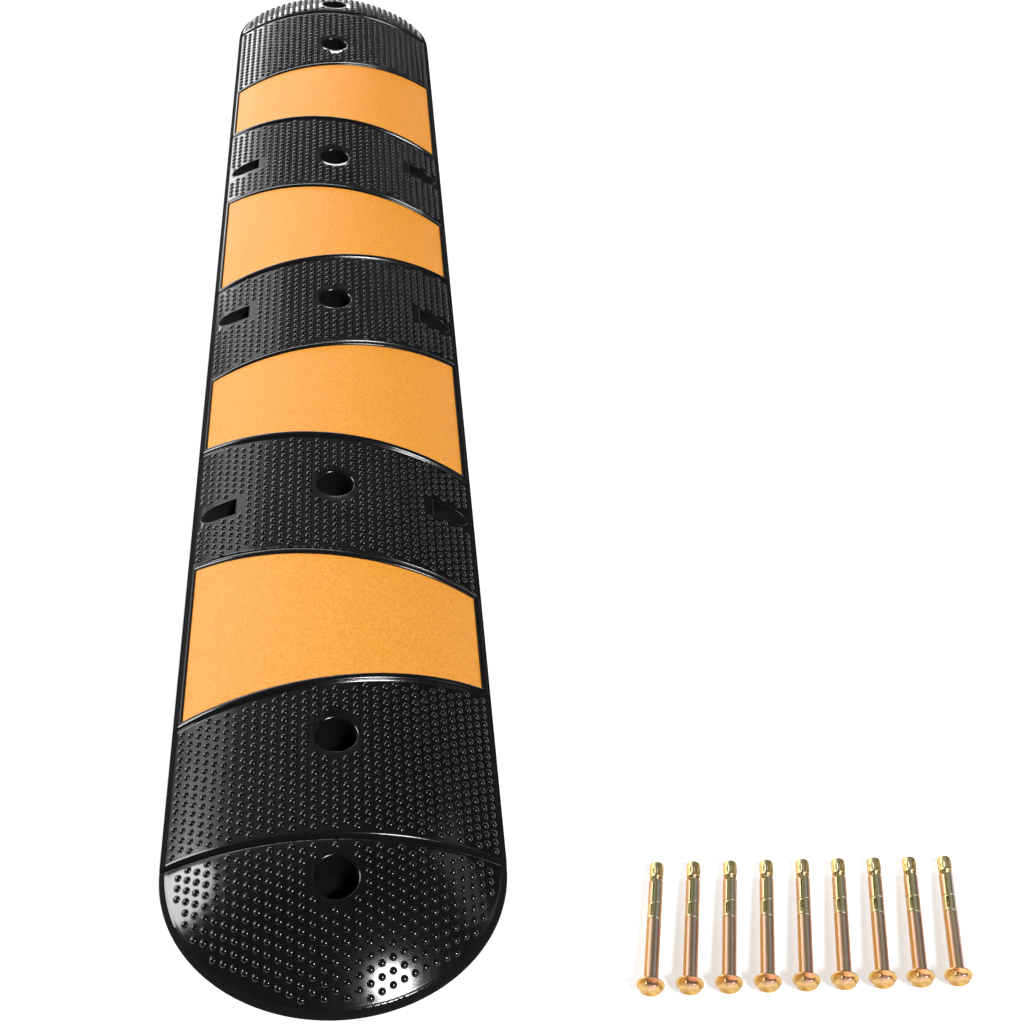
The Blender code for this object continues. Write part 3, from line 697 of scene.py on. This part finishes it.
def expansion_master():
    """A tube's wall carried from one side of its seam round to the other; the seam widens to a
    V at the nut's end."""
    half = TAB_HALF + JOINT_GAP
    theta = np.sort((around(48, *tab_angles(half)) - SEAM_AT) % (2 * math.pi))
    low = (EXPANSION[0] + TAB_LENGTH * tab_mask(theta + SEAM_AT, half))[:, None]
    high = np.full(low.shape, EXPANSION[1])
    e = WALL_ROUNDING
    z_share = np.concatenate([[0.0], np.linspace(0.02, 0.84, 8), [0.88, 0.92, 0.96, 1.0]])
    radii = np.concatenate([[SLEEVE_OUTER - e], np.full(len(z_share), SLEEVE_OUTER), [SLEEVE_OUTER - e],
                            [SLEEVE_INNER + e], np.full(len(z_share), SLEEVE_INNER), [SLEEVE_INNER + e]])
    mid = low + e + (high - low - 2 * e) * z_share
    z = np.concatenate([low, mid, high, high, mid[:, ::-1], low], 1)
    notch = np.clip((z - (EXPANSION[1] - NOTCH)) / NOTCH, 0, 1)
    gap = (SEAM_HALF + (NOTCH - SEAM_HALF) * notch) / SLEEVE_OUTER
    share = (theta / (2 * math.pi))[:, None]
    share = (share - share.min()) / (share.max() - share.min())
    turn = SEAM_AT + gap + share * (2 * math.pi - 2 * gap)
    points = np.stack([radii * np.cos(turn), radii * np.sin(turn), z], -1)
    rows, columns = z.shape
    faces = grid_faces(rows, columns, wrap_columns=True)
    for first in (0, (rows - 1) * columns):
        last = first + columns - 1
        faces += [[first + k, first + k + 1, last - k - 1, last - k] for k in range(columns // 2 - 1)]
    return points.reshape(-1, 3), faces


def nut_master():
    """A cone that widens to the sleeve's size, rounded flutes beside it and a plain far half."""
    theta = around(72)
    low, high = NUT
    z = np.concatenate([low + np.array([0, 0.0001, 0.0012, 0.0022, 0.0030, 0.0040, 0.0050, 0.0062, 0.0074,
                                        0.0082, 0.0088, 0.0092]), [high - 0.0010, high - 0.0004, high]])
    radius = np.interp(z, [low, low + 0.0001, low + 0.0050, high - 0.0010, high - 0.0004, high],
                       [0.0054, 0.0055, SLEEVE_OUTER, SLEEVE_OUTER, 0.0060, 0.0057])
    flute = np.interp(z, [low + 0.0015, low + 0.0030, low + 0.0080, low + 0.0090], [0.0, 1.0, 1.0, 0.0])
    ripple = FLUTE_DEPTH * (0.5 - 0.5 * np.cos(theta * FLUTES)) ** 0.7
    outer = radius - ripple[:, None] * flute
    inner = np.full((len(theta), 2), NUT_BORE)
    height = np.concatenate([z, [high - 0.0003, low + 0.0003]])
    return ring_shape(turned_table(theta, np.concatenate([outer, inner], 1), height))


def window_cutter():
    """A slot with round ends, reaching in through one side of the crush sleeve."""
    low = CRUSH[0] + WINDOW_MARGIN + WINDOW_HALF
    high = CRUSH[1] - WINDOW_MARGIN - WINDOW_HALF
    turn = np.linspace(0, math.pi, 9)
    x = WINDOW_HALF * np.concatenate([np.cos(turn), -np.cos(turn)])
    z = np.concatenate([high + WINDOW_HALF * np.sin(turn), low - WINDOW_HALF * np.sin(turn)])
    return loft("cut_window", [np.stack([x, np.full(x.shape, y), z], 1) for y in (-WINDOW_REACH, 0.0)])


def dented(points):
    """Press an oval dimple into the outside of the spacer, near its head end."""
    x, y, z = points.T
    turn = (np.arctan2(y, x) - SEAM_AT + math.pi) % (2 * math.pi) - math.pi
    reach = np.hypot(turn * SLEEVE_OUTER / DENT_HALF[0], (z - SPACER[0] - DENT_PLACE) / DENT_HALF[1])
    radius = np.hypot(x, y)
    pressed = 1 - DENT_DEPTH * np.clip(1 - reach ** 2, 0, 1) / radius
    share = np.where(radius > DENT_ABOVE, pressed, 1.0)
    return np.stack([x * share, y * share, z], 1)


def anchor_matrices():
    """Each anchor's place: lying on its flange's rim and its nut's end, as the frame's row has it."""
    tilt = math.atan2(FLANGE_RADIUS - SLEEVE_OUTER, ANCHOR_LENGTH - FLANGE_PLACE)
    matrices = []
    for joint in frame["joints"]:
        if not joint["name"].endswith("bolt_turn"):
            continue
        direction = Vector(joint["axis"])
        heading = math.atan2(direction.x, direction.y)
        turn = (Matrix.Rotation(-heading, 4, "Z") @ Matrix.Rotation(-math.pi / 2 - tilt, 4, "X")
                @ Matrix.Rotation(ANCHOR_ROLL, 4, "Z"))
        matrices.append(Matrix.Translation(Vector(joint["pos_m"])) @ turn)
    return matrices


# ---------------------------------------------------------------- materials
class Nodes:
    """Short calls for the node tree of a material or a world."""

    def __init__(self, owner, shader="Principled BSDF"):
        owner.use_nodes = True
        self.owner = owner
        self.tree = owner.node_tree
        self.shader = self.tree.nodes[shader]

    def put(self, socket, value):
        """Link another node's output to a socket, or write a constant into it."""
        if isinstance(value, bpy.types.NodeSocket):
            self.tree.links.new(value, socket)
        else:
            socket.default_value = value

    def add(self, kind, inputs=(), output=0, **settings):
        """A new node with its settings and inputs; the answer is one of its outputs."""
        node = self.tree.nodes.new(kind)
        for key, value in settings.items():
            setattr(node, key, value)
        for key, value in dict(inputs).items():
            self.put(node.inputs[key], value)
        return node.outputs[output]

    def set(self, **values):
        """Write or link the shader's own inputs, named in lower case with underscores."""
        for key, value in values.items():
            self.put(self.shader.inputs[key.replace("_", " ").title().replace("Ior", "IOR")], value)

    def place(self, kind="Object"):
        """Coordinates of the point that is shaded."""
        return self.add("ShaderNodeTexCoord", output=kind)

    def ramp(self, value, *stops):
        """Colour against a value, each stop a place and a colour."""
        colours = self.add("ShaderNodeValToRGB", {0: value})
        ramp = colours.node.color_ramp
        while len(ramp.elements) < len(stops):
            ramp.elements.new(0.5)
        for element, (place, colour) in zip(ramp.elements, stops):
            element.position = place
            element.color = (*colour, 1.0)
        return colours

    def noise(self, vector, scale, detail=3.0, roughness=0.5, distortion=0.0, stretch=None):
        """Soft noise, if need be stretched along the axes first."""
        if stretch:
            vector = self.add("ShaderNodeMapping", {"Vector": vector, "Scale": stretch})
        return self.add("ShaderNodeTexNoise", {"Vector": vector, "Scale": scale, "Detail": detail,
                                               "Roughness": roughness, "Distortion": distortion})

    def math(self, operation, a, b, clamp=False):
        """One sum, product or the like."""
        return self.add("ShaderNodeMath", {0: a, 1: b}, operation=operation, use_clamp=clamp)

    def line(self, value, slope, start):
        """A value times a slope, on top of a start."""
        return self.math("ADD", self.math("MULTIPLY", value, slope), start)

    def span(self, value, low, high, at_low, at_high, kind="LINEAR"):
        """Carry a value's range over to another range."""
        return self.add("ShaderNodeMapRange", {0: value, 1: low, 2: high, 3: at_low, 4: at_high},
                        interpolation_type=kind)

    def mix(self, factor, *colours):
        """The mean of two colours, each a plain one or an output, weighted by a factor."""
        a, b = [(*colour, 1.0) if isinstance(colour, tuple) else colour for colour in colours]
        return self.add("ShaderNodeMix", {0: factor, 6: a, 7: b}, output=2, data_type="RGBA")

    def bump(self, height, strength, distance, **normal):
        """A normal tilted by a height; the one it starts from may be given as Normal."""
        return self.add("ShaderNodeBump", {"Height": height, "Strength": strength, "Distance": distance,
                                           **normal})


def new_material(name):
    """Short calls for a new material."""
    return Nodes(bpy.data.materials.new(name))


def grey(value):
    """A colour with three equal shares."""
    return (value, value, value)


def lighter(colour, factor, lift=0.0):
    """A colour with its shares multiplied and lifted, up to white."""
    return tuple(min(1.0, share * factor + lift) for share in colour)


def dull_shade_material(name, colour):
    """The same rubber with almost no reflection: matt on the side edges and underside, and painted shade
    that keeps the walls of the openings nearly black.
    """
    n = new_material(name)
    fine = n.noise(n.place(), 1400.0, 3.0, 0.6)
    n.set(base_color=n.mix(fine, colour, lighter(colour, 1.4)), roughness=n.line(fine, 0.15, 0.60),
          normal=n.bump(fine, 0.2, 0.0001), specular_ior_level=0.03)
    return n.owner


def dull_shade_faces(item, material, depth=0.0016, edge=0.0048):
    """Give a second material to the faces further under the crown than a depth, where it paints shade into
    the openings, and to those within an edge's width of the long sides and the rim."""
    mesh = item.data
    mesh.materials.append(material)
    x, y, z = read(mesh.polygons, "center", 3).T
    reach = np.hypot(x, cap_depth(y))
    dull = (crown(np.minimum(reach, HALF_WIDTH)) - z > depth) | (reach > HALF_WIDTH - edge)
    mesh.polygons.foreach_set("material_index", dull.astype(np.int32))


CAP_SHINE = 0.01               # how much less rough the caps are than the body


def rubber_material(name, colour, roughness):
    """Moulded rubber: a finely pebbled skin with a faint pale bloom, rougher where it is scuffed."""
    n = new_material(name)
    place = n.place()
    fine = n.noise(place, 2200.0, 3.0, 0.6)
    cloud = n.noise(place, 9.0, 4.0, 0.55, 0.6)
    scuff = n.noise(place, 3.0, 5.0, 0.6, stretch=(60, 9, 20))
    dust = n.math("MULTIPLY", n.ramp(cloud, (0.35, grey(0.0)), (0.75, grey(1.0))),
                  n.ramp(scuff, (0.42, grey(0.15)), (0.75, grey(1.0))))
    n.set(base_color=n.mix(n.math("MULTIPLY", dust, 0.55), colour, lighter(colour, 1.8, 0.003)),
          roughness=n.math("ADD", n.line(fine, 0.10, roughness - 0.05), n.math("MULTIPLY", dust, 0.08)),
          normal=n.bump(cloud, 0.15, 0.0015, Normal=n.bump(fine, 0.12, 0.0001)), ior=1.52)
    return n.owner


def film_material(settings):
    """Reflective film: orange, with fine prism cells, a faint grain, shallow wrinkles and a painted sheen on
    its left.
    """
    n = new_material("reflective_film")
    place = n.place()
    grain = n.noise(place, 420.0, 4.0, 0.7)
    cloud = n.noise(place, 26.0, 5.0, 0.62, 0.4)
    wrinkle = n.noise(place, 1.0, 6.0, 0.68, 0.8, stretch=(36, 120, 60))
    cells = n.add("ShaderNodeTexVoronoi", {"Vector": place, "Scale": 420.0}, feature="DISTANCE_TO_EDGE")
    deep, pale = tuple(settings.film_colour), tuple(settings.film_pale)
    # The film is paler on the left, a painted sheen where the light falls, paler towards the near end, and
    # cloudy all over.
    across = n.span(n.add("ShaderNodeSeparateXYZ", {0: place}, output=0), -HALF_WIDTH, HALF_WIDTH, 1.0, 0.0)
    along = n.span(n.add("ShaderNodeSeparateXYZ", {0: place}, output=1), -HALF_LENGTH, HALF_LENGTH,
                   0.14, -0.50)
    share = n.math("ADD", n.math("MULTIPLY", across, 0.38), n.math("MULTIPLY", cloud, 0.5))
    colour = n.mix(n.math("ADD", share, along, clamp=True), deep, pale)
    colour = n.mix(n.ramp(grain, (0.38, grey(0.9)), (0.62, grey(0.0))), colour, lighter(deep, 0.78))
    edge = n.ramp(cells, (0.0, grey(0.30)), (0.06, grey(0.0)))
    height = n.math("ADD", n.math("MULTIPLY", wrinkle, 0.5), n.math("MULTIPLY", grain, 0.5))
    n.set(base_color=n.mix(edge, colour, lighter(pale, 1.15)), roughness=n.line(cloud, 0.22, 0.30),
          normal=n.bump(height, 0.6, 0.0035, Normal=n.bump(cells, 0.12, 0.0003)),
          specular_ior_level=0.3, coat_weight=0.08, coat_roughness=0.2)
    return n.owner


# Passivated zinc: colours met on the way round the metal, as (share of the turn, colour); before the first
# and past the last the colour stays. Shares near a third of a turn face up where an anchor lies: the white
# band there and the pale ones beside it are a painted highlight, and the other colours are the zinc's own
# passivation.
GOLD, BRONZE, OLIVE = (0.80, 0.52, 0.16), (0.60, 0.36, 0.15), (0.80, 0.74, 0.36)
PALE, PINK, ROSE = (0.90, 0.80, 0.52), (0.92, 0.60, 0.50), (0.88, 0.52, 0.38)
HIGHLIGHT_WHITE, BROWN = (0.98, 0.93, 0.86), (0.56, 0.27, 0.06)
# SHADE is painted shade, laid into the thread's roots.
SCRATCH, SHADE = (0.38, 0.27, 0.14), (0.12, 0.09, 0.05)
ZINC_BANDS = {
    "bolt_zinc": [(0.15, GOLD), (0.26, PALE), (0.36, PALE), (0.44, GOLD), (0.60, BRONZE), (0.80, PALE),
                  (1.0, GOLD)],
    "head_zinc": [(0.0, BRONZE), (0.12, GOLD), (0.24, BRONZE), (0.36, ROSE), (0.46, GOLD),
                  (0.60, BRONZE), (0.72, GOLD), (0.86, BROWN), (1.0, BRONZE)],
    "spacer_zinc": [(0.18, BROWN), (0.22, ROSE), (0.27, ROSE), (0.31, OLIVE), (0.35, PINK),
                    (0.39, HIGHLIGHT_WHITE), (0.42, PINK), (0.455, ROSE), (0.48, BROWN)],
    "crush_zinc": [(0.14, BRONZE), (0.20, OLIVE), (0.28, OLIVE), (0.34, PALE), (0.39, HIGHLIGHT_WHITE),
                   (0.43, OLIVE), (0.46, ROSE), (0.49, BRONZE)],
    "expansion_zinc": [(0.14, BROWN), (0.19, ROSE), (0.23, OLIVE), (0.31, OLIVE), (0.35, PALE),
                       (0.38, HIGHLIGHT_WHITE), (0.42, HIGHLIGHT_WHITE), (0.455, ROSE), (0.48, BROWN)],
    "nut_zinc": [(0.0, BRONZE), (0.14, GOLD), (0.22, OLIVE), (0.30, PALE), (0.36, GOLD), (0.42, OLIVE),
                 (0.47, GOLD), (0.50, BRONZE)],
}


def zinc_material(name, roughness):
    """Yellow-passivated steel: soft colour bands round the piece with a painted highlight where it faces up,
    painted shade at the thread's roots, drawn marks along it, fine pits.
    """
    n = new_material(name)
    uv = n.add("ShaderNodeUVMap", uv_map="wrap")
    place = n.place()
    turn = n.add("ShaderNodeSeparateXYZ", {0: uv})
    for blur, reach in ((n.noise(uv, 2.2, 3.0, 0.5), 0.07), (n.noise(place, 210.0, 4.0, 0.6), 0.03)):
        turn = n.math("ADD", turn, n.math("MULTIPLY", n.math("SUBTRACT", blur, 0.5), reach))
    bands = n.ramp(n.math("FRACT", n.math("ADD", turn, 2.0), 0.0), *ZINC_BANDS[name])
    lines = n.noise(uv, 1.0, 4.0, 0.7, stretch=(260, 5, 1))
    pits = n.noise(place, 2600.0, 3.0, 0.6)
    marked = n.mix(n.ramp(lines, (0.35, grey(0.30)), (0.6, grey(0.0))), bands, SCRATCH)
    # Painted shade: the thread's roots darken towards SHADE.
    groove = n.add("ShaderNodeAttribute", output="Fac", attribute_name="groove")
    n.set(base_color=n.mix(groove, marked, SHADE), metallic=1.0,
          roughness=n.line(lines, 0.16, roughness - 0.08),
          normal=n.bump(lines, 0.12, 0.0001, Normal=n.bump(pits, 0.15, 0.0001)))
    return n.owner


def wrap_uv(mesh):
    """A UV map with the share of a turn round local Z as its first number and the share of the
    anchor's length as its second, the seam's faces kept whole."""
    x, y, z = read(mesh.vertices, "co", 3)[read(mesh.loops, "vertex_index")].T
    u = np.arctan2(y, x) / (2 * math.pi) + 0.5
    highest = np.maximum.reduceat(u, read(mesh.polygons, "loop_start"))
    u = np.where(np.repeat(highest, read(mesh.polygons, "loop_total")) - u > 0.5, u + 1.0, u)
    layer = mesh.uv_layers.new(name="wrap")
    layer.data.foreach_set("uv", np.stack([u, z / ANCHOR_LENGTH], 1).astype(np.float32).ravel())


def mark_groove_shade(mesh):
    """A point attribute for painted shade: one at the foot of the thread and nothing near its crest or
    beyond.
    """
    x, y, z = read(mesh.vertices, "co", 3).T
    depth = np.clip((GROOVE_TOP - np.hypot(x, y)) / GROOVE_FADE, 0, 1)
    layer = mesh.attributes.new("groove", "FLOAT", "POINT")
    layer.data.foreach_set("value", np.where(z > THREAD_START, depth, 0.0).astype(np.float32))


# ---------------------------------------------------------------- settings
class BumpSettings(bpy.types.PropertyGroup):
    """Sizes of the studs, and the rubber's colour and shine"""
    stud_radius: FloatProperty(name="Stud radius", description="Radius of a stud at its foot",
                               default=0.0036, min=0.001, unit="LENGTH")
    stud_height: FloatProperty(name="Stud height",
                               description="Height of a stud over the rubber round it",
                               default=0.00205, min=0.0002, unit="LENGTH")
    stud_spacing: FloatProperty(name="Stud spacing", description="From stud to stud along the bump",
                                default=0.00945, min=0.004, unit="LENGTH")
    stud_column_spacing: FloatProperty(name="Column spacing",
                                       description="From column to column over the arc",
                                       default=0.0093, min=0.004, unit="LENGTH")
    rubber_colour: FloatVectorProperty(name="Rubber", description="Colour of the moulded rubber",
                                       default=(0.0062, 0.0062, 0.0068), subtype="COLOR", min=0, max=1)
    rubber_roughness: FloatProperty(name="Rubber roughness", description="Roughness of the rubber's skin",
                                    default=0.145, min=0, max=1)
    stud_roughness: FloatProperty(name="Stud roughness",
                                  description="Roughness of the studs, polished by wheels",
                                  default=0.06, min=0, max=1)


class PanelSettings(bpy.types.PropertyGroup):
    """Colours of the reflective film"""
    film_colour: FloatVectorProperty(name="Film", description="Deeper colour of the reflective film",
                                     default=(1.0, 0.372, 0.034), subtype="COLOR", min=0, max=1)
    # The paler film colour is also the colour of the painted sheen on the film's left.
    film_pale: FloatVectorProperty(name="Film, pale", description="Paler colour of the reflective film",
                                   default=(1.0, 0.46, 0.092), subtype="COLOR", min=0, max=1)


class AnchorSettings(bpy.types.PropertyGroup):
    """Look of the anchors' metal"""
    zinc_roughness: FloatProperty(name="Zinc roughness", description="Roughness of the passivated zinc",
                                  default=0.38, min=0, max=1)


class StageSettings(bpy.types.PropertyGroup):
    """Lights, floor and lens"""
    key_strength: FloatProperty(name="Key light",
                                description="Strength of the soft light over the right shoulder",
                                default=3.2, min=0)
    left_strength: FloatProperty(name="Left light", description="Strength of the wider light from the left",
                                 default=2.15, min=0)
    wall_power: FloatProperty(name="Wall light", description="Power of the wide light beyond the far left",
                              default=19.0, unit="POWER")
    low_power: FloatProperty(name="Low light", description="Power of the long low light behind the bump",
                             default=60.0, unit="POWER")
    anchor_power: FloatProperty(name="Anchor light", description="Power of the small light over the anchors",
                                default=0.25, unit="POWER")
    sky: FloatProperty(name="Sky", description="Strength of the studio's light at its brighter, far side",
                       default=0.25, min=0)
    lens: FloatProperty(name="Lens", description="Focal length of the camera in millimetres", default=52.81)
    floor_size: FloatProperty(name="Floor", description="Side of the floor", default=14.0, unit="LENGTH")


class SpeedBumpSettings(bpy.types.PropertyGroup):
    """All the settings, in the groups that the panel shows"""
    bump: PointerProperty(type=BumpSettings)
    panels: PointerProperty(type=PanelSettings)
    anchors: PointerProperty(type=AnchorSettings)
    stage: PointerProperty(type=StageSettings)


# ---------------------------------------------------------------- operators
class SPEEDBUMP_OT_rubber(bpy.types.Operator):
    """Make the moulded body, the two end caps and their studs"""
    bl_idname = "speedbump.rubber"
    bl_label = "Rubber pieces"

    def execute(self, context):
        settings = context.scene.speed_bump.bump
        colour, roughness = tuple(settings.rubber_colour), settings.rubber_roughness
        body_rubber = rubber_material("body_rubber", colour, roughness)
        cap_rubber = rubber_material("cap_rubber", colour, roughness - CAP_SHINE)
        worn = rubber_material("stud_rubber", colour, settings.stud_roughness)
        # Rubber with almost no reflection: matt on the sides, and painted shade in the openings.
        dull = dull_shade_material("dull_shade_rubber", colour)
        body = dress(make_body_moulding(), body_rubber, "root", "body_rubber", "speed_bump_body")
        dull_shade_faces(body, dull)
        dress(pocket_lips(), body_rubber, "root", "body_rubber", "speed_bump_body")
        caps = (("end_cap_near", -1), ("end_cap_far", 1))
        for name, end in caps:
            cap = dress(make_cap_moulding(name + "_moulding", end), cap_rubber, "root", "cap_rubber", name)
            dull_shade_faces(cap, dull)
        places = stud_places(settings)
        y = places[:, 1]
        ends = [-HALF_LENGTH, *[(band[0] + band[2]) / 2 for band in panel_bands()], HALF_LENGTH]
        for zone, (low, high) in enumerate(zip(ends, ends[1:])):
            field = stud_field(f"body_studs_{zone + 1}", places[(y > low) & (y < high)], settings)
            dress(field, worn, "root", "body_rubber", "speed_bump_body")
        for name, end in caps:
            field = stud_field(name + "_studs", places[end * y > HALF_LENGTH], settings)
            dress(field, worn, "root", "cap_rubber", name)
        return {"FINISHED"}


class SPEEDBUMP_OT_panels(bpy.types.Operator):
    """Make the four reflective panels"""
    bl_idname = "speedbump.panels"
    bl_label = "Reflective panels"

    def execute(self, context):
        film = film_material(context.scene.speed_bump.panels)
        for name, band in zip(PANEL_NAMES, panel_bands()):
            dress(panel_sheet(name + "_film", band), film, "root", "reflective_film", name)
        return {"FINISHED"}


# Each piece of an anchor: its master, whether it moves with a body of its own, and the angle
# up to which it is shaded smoothly.
ANCHOR_PIECES = {"bolt": (bolt_master, True, 34), "spacer_sleeve": (spacer_master, False, 40),
                 "crush_sleeve": (crush_master, False, 40),
                 "expansion_sleeve": (expansion_master, False, 40), "cone_nut": (nut_master, True, 40)}


class SPEEDBUMP_OT_anchors(bpy.types.Operator):
    """Make the sleeve anchors that lie beside the bump"""
    bl_idname = "speedbump.anchors"
    bl_label = "Sleeve anchors"

    def execute(self, context):
        roughness = context.scene.speed_bump.anchors.zinc_roughness
        matrices = anchor_matrices()
        if len(matrices) != ANCHOR_COUNT:
            raise RuntimeError("the frame has not the right number of anchors")
        head = zinc_material("head_zinc", roughness)
        for kind, (make, moves, angle) in ANCHOR_PIECES.items():
            slot = kind.replace("_sleeve", "").replace("cone_", "") + "_zinc"
            material = zinc_material(slot, roughness)
            master = outward(mesh_object("master_" + kind, *make()))
            if kind == "crush_sleeve":
                carve(master, [window_cutter()])
            smooth(master, angle)
            wrap_uv(master.data)
            mark_groove_shade(master.data)
            outer = read(master.data.polygons, "center", 3)[:, 2] < HEAD_TOP
            for index, matrix in enumerate(matrices):
                name = f"anchor_{index + 1}_{kind}"
                mesh = master.data.copy()
                mesh.transform(matrix)
                item = new_object(name + "_detail", mesh)
                dress(item, material, name if moves else "root", slot, name)
                if kind == "bolt":
                    mesh.materials.append(head)
                    mesh.polygons.foreach_set("material_index", outer.astype(np.int32))
            bpy.data.objects.remove(master, do_unlink=True)
        return {"FINISHED"}


# ---------------------------------------------------------------- stage
# Where the suns shine from and how wide each looks, in degrees.
KEY_FROM, KEY_WIDTH = (0.394, -0.530, 0.751), 16
LEFT_FROM, LEFT_WIDTH = (-0.85, 0.33, 0.42), 27
# The other lights: place, point aimed at, and the two sides of the lit rectangle.
WALL_LIGHT = (-2.7, 2.5, 1.7), (0, 0.1, 0), (3.4, 1.3)
LOW_LIGHT = (-1.3, 4.8, 0.75), (0, 0.1, 0), (3.6, 0.8)
ANCHOR_LIGHT = (0.82, -0.54, 0.52), (0.42, -0.85, 0), (0.62, 0.24)
BRIGHT_SIDE = (-0.45, 0.85, 0.25)
CAMERA_PLACE = (-0.0160, -1.5143, 1.1314)
CAMERA_TURN = (0.8161, -0.0935, -0.0866)
FLOOR_GLOW = 0.66
PATCH_HALF_WIDTH = 0.10
PATCH_MARGIN = 0.055           # how far the floor's patch stops short of the caps' tips


def area_light(name, place, target, size, power):
    """A soft rectangular light turned to face a point."""
    data = bpy.data.lights.new(name, "AREA")
    data.shape = "RECTANGLE"
    data.size, data.size_y = size
    data.energy = power
    item = new_object(name, data)
    item.location = place
    item.rotation_euler = (Vector(target) - Vector(place)).to_track_quat("-Z", "Y").to_euler()
    return item


def sun_light(name, towards, width, strength):
    """A distant light seen in one direction from everywhere, as wide as an angle in degrees."""
    data = bpy.data.lights.new(name, "SUN")
    data.energy = strength
    data.angle = math.radians(width)
    new_object(name, data).rotation_euler = Vector(towards).to_track_quat("Z", "Y").to_euler()


def floor_material(name, glow):
    """Matt white board, with an even glow of its own that keeps it pale."""
    n = new_material(name)
    n.set(base_color=n.ramp(n.noise(n.place(), 4.0, 3.0), (0.3, grey(0.60)), (0.7, grey(0.64))),
          roughness=0.9, emission_color=(1, 1, 1, 1), emission_strength=glow)
    return n.owner


def make_floor(size):
    """A square with a smaller patch inside it, hidden under the bump, that has no glow."""
    x = [-size / 2, -PATCH_HALF_WIDTH, PATCH_HALF_WIDTH, size / 2]
    y = [-size / 2, PATCH_MARGIN - CAP_TIP, CAP_TIP - PATCH_MARGIN, size / 2]
    points = [(a, b, 0.0) for a in x for b in y]
    floor = mesh_object("floor", points, [face[::-1] for face in grid_faces(4, 4)])
    floor.data.materials.append(floor_material("floor_white", FLOOR_GLOW))
    floor.data.materials.append(floor_material("floor_shaded", 0.0))
    floor.data.polygons[4].material_index = 1  # the middle one of nine squares


def make_world(strength):
    """A studio that is bright on its far left and nearly black on the near side."""
    world = bpy.data.worlds.new("studio")
    n = Nodes(world, "Background")
    towards = n.add("ShaderNodeVectorMath", {0: n.place("Generated"), 1: BRIGHT_SIDE}, output="Value",
                    operation="DOT_PRODUCT")
    n.set(color=n.span(towards, 0.45, 1.08, 0.012, 1.0, kind="SMOOTHSTEP"), strength=strength)
    return world


class SPEEDBUMP_OT_stage(bpy.types.Operator):
    """Make the floor, the lights and the camera"""
    bl_idname = "speedbump.stage"
    bl_label = "Stage"

    def execute(self, context):
        scene = context.scene
        settings = scene.speed_bump.stage
        make_floor(settings.floor_size)
        sun_light("key_light", KEY_FROM, KEY_WIDTH, settings.key_strength)
        sun_light("left_light", LEFT_FROM, LEFT_WIDTH, settings.left_strength)
        area_light("wall_light", *WALL_LIGHT, settings.wall_power)
        area_light("low_light", *LOW_LIGHT, settings.low_power)
        area_light("anchor_light", *ANCHOR_LIGHT, settings.anchor_power).visible_camera = False
        scene.world = make_world(settings.sky)
        scene.view_settings.view_transform = "Standard"
        data = bpy.data.cameras.new("camera")
        data.lens = settings.lens
        data.sensor_width = 36.0
        camera = new_object("camera", data)
        camera.location = CAMERA_PLACE
        camera.rotation_euler = Euler(CAMERA_TURN, "XYZ")
        bpy.context.scene.camera = camera
        return {"FINISHED"}


class SPEEDBUMP_PT_make(bpy.types.Panel):
    """Sizes and colours of the speed bump, and a button for each group of its pieces"""
    bl_idname = "SPEEDBUMP_PT_make"
    bl_label = "Speed bump"
    bl_space_type = "VIEW_3D"
    bl_region_type = "UI"
    bl_category = "Speed bump"

    def draw(self, context):
        settings = context.scene.speed_bump
        for group, operator in (("bump", "speedbump.rubber"), ("panels", "speedbump.panels"),
                                ("anchors", "speedbump.anchors"), ("stage", "speedbump.stage")):
            box = self.layout.box()
            values = getattr(settings, group)
            for key in values.__annotations__:
                box.prop(values, key)
            box.operator(operator)


CLASSES = (BumpSettings, PanelSettings, AnchorSettings, StageSettings, SpeedBumpSettings,
           SPEEDBUMP_OT_rubber, SPEEDBUMP_OT_panels, SPEEDBUMP_OT_anchors, SPEEDBUMP_OT_stage,
           SPEEDBUMP_PT_make)


def register():
    """Add the classes to Blender, and the settings to its scenes."""
    for item in CLASSES:
        bpy.utils.register_class(item)
    bpy.types.Scene.speed_bump = PointerProperty(type=SpeedBumpSettings)


def unregister():
    """Take away what register added."""
    del bpy.types.Scene.speed_bump
    for item in reversed(CLASSES):
        bpy.utils.unregister_class(item)


def main():
    """Make everything in order."""
    register()
    bpy.ops.speedbump.rubber()
    bpy.ops.speedbump.panels()
    bpy.ops.speedbump.anchors()
    bpy.ops.speedbump.stage()


if __name__ == "__main__":
    main()
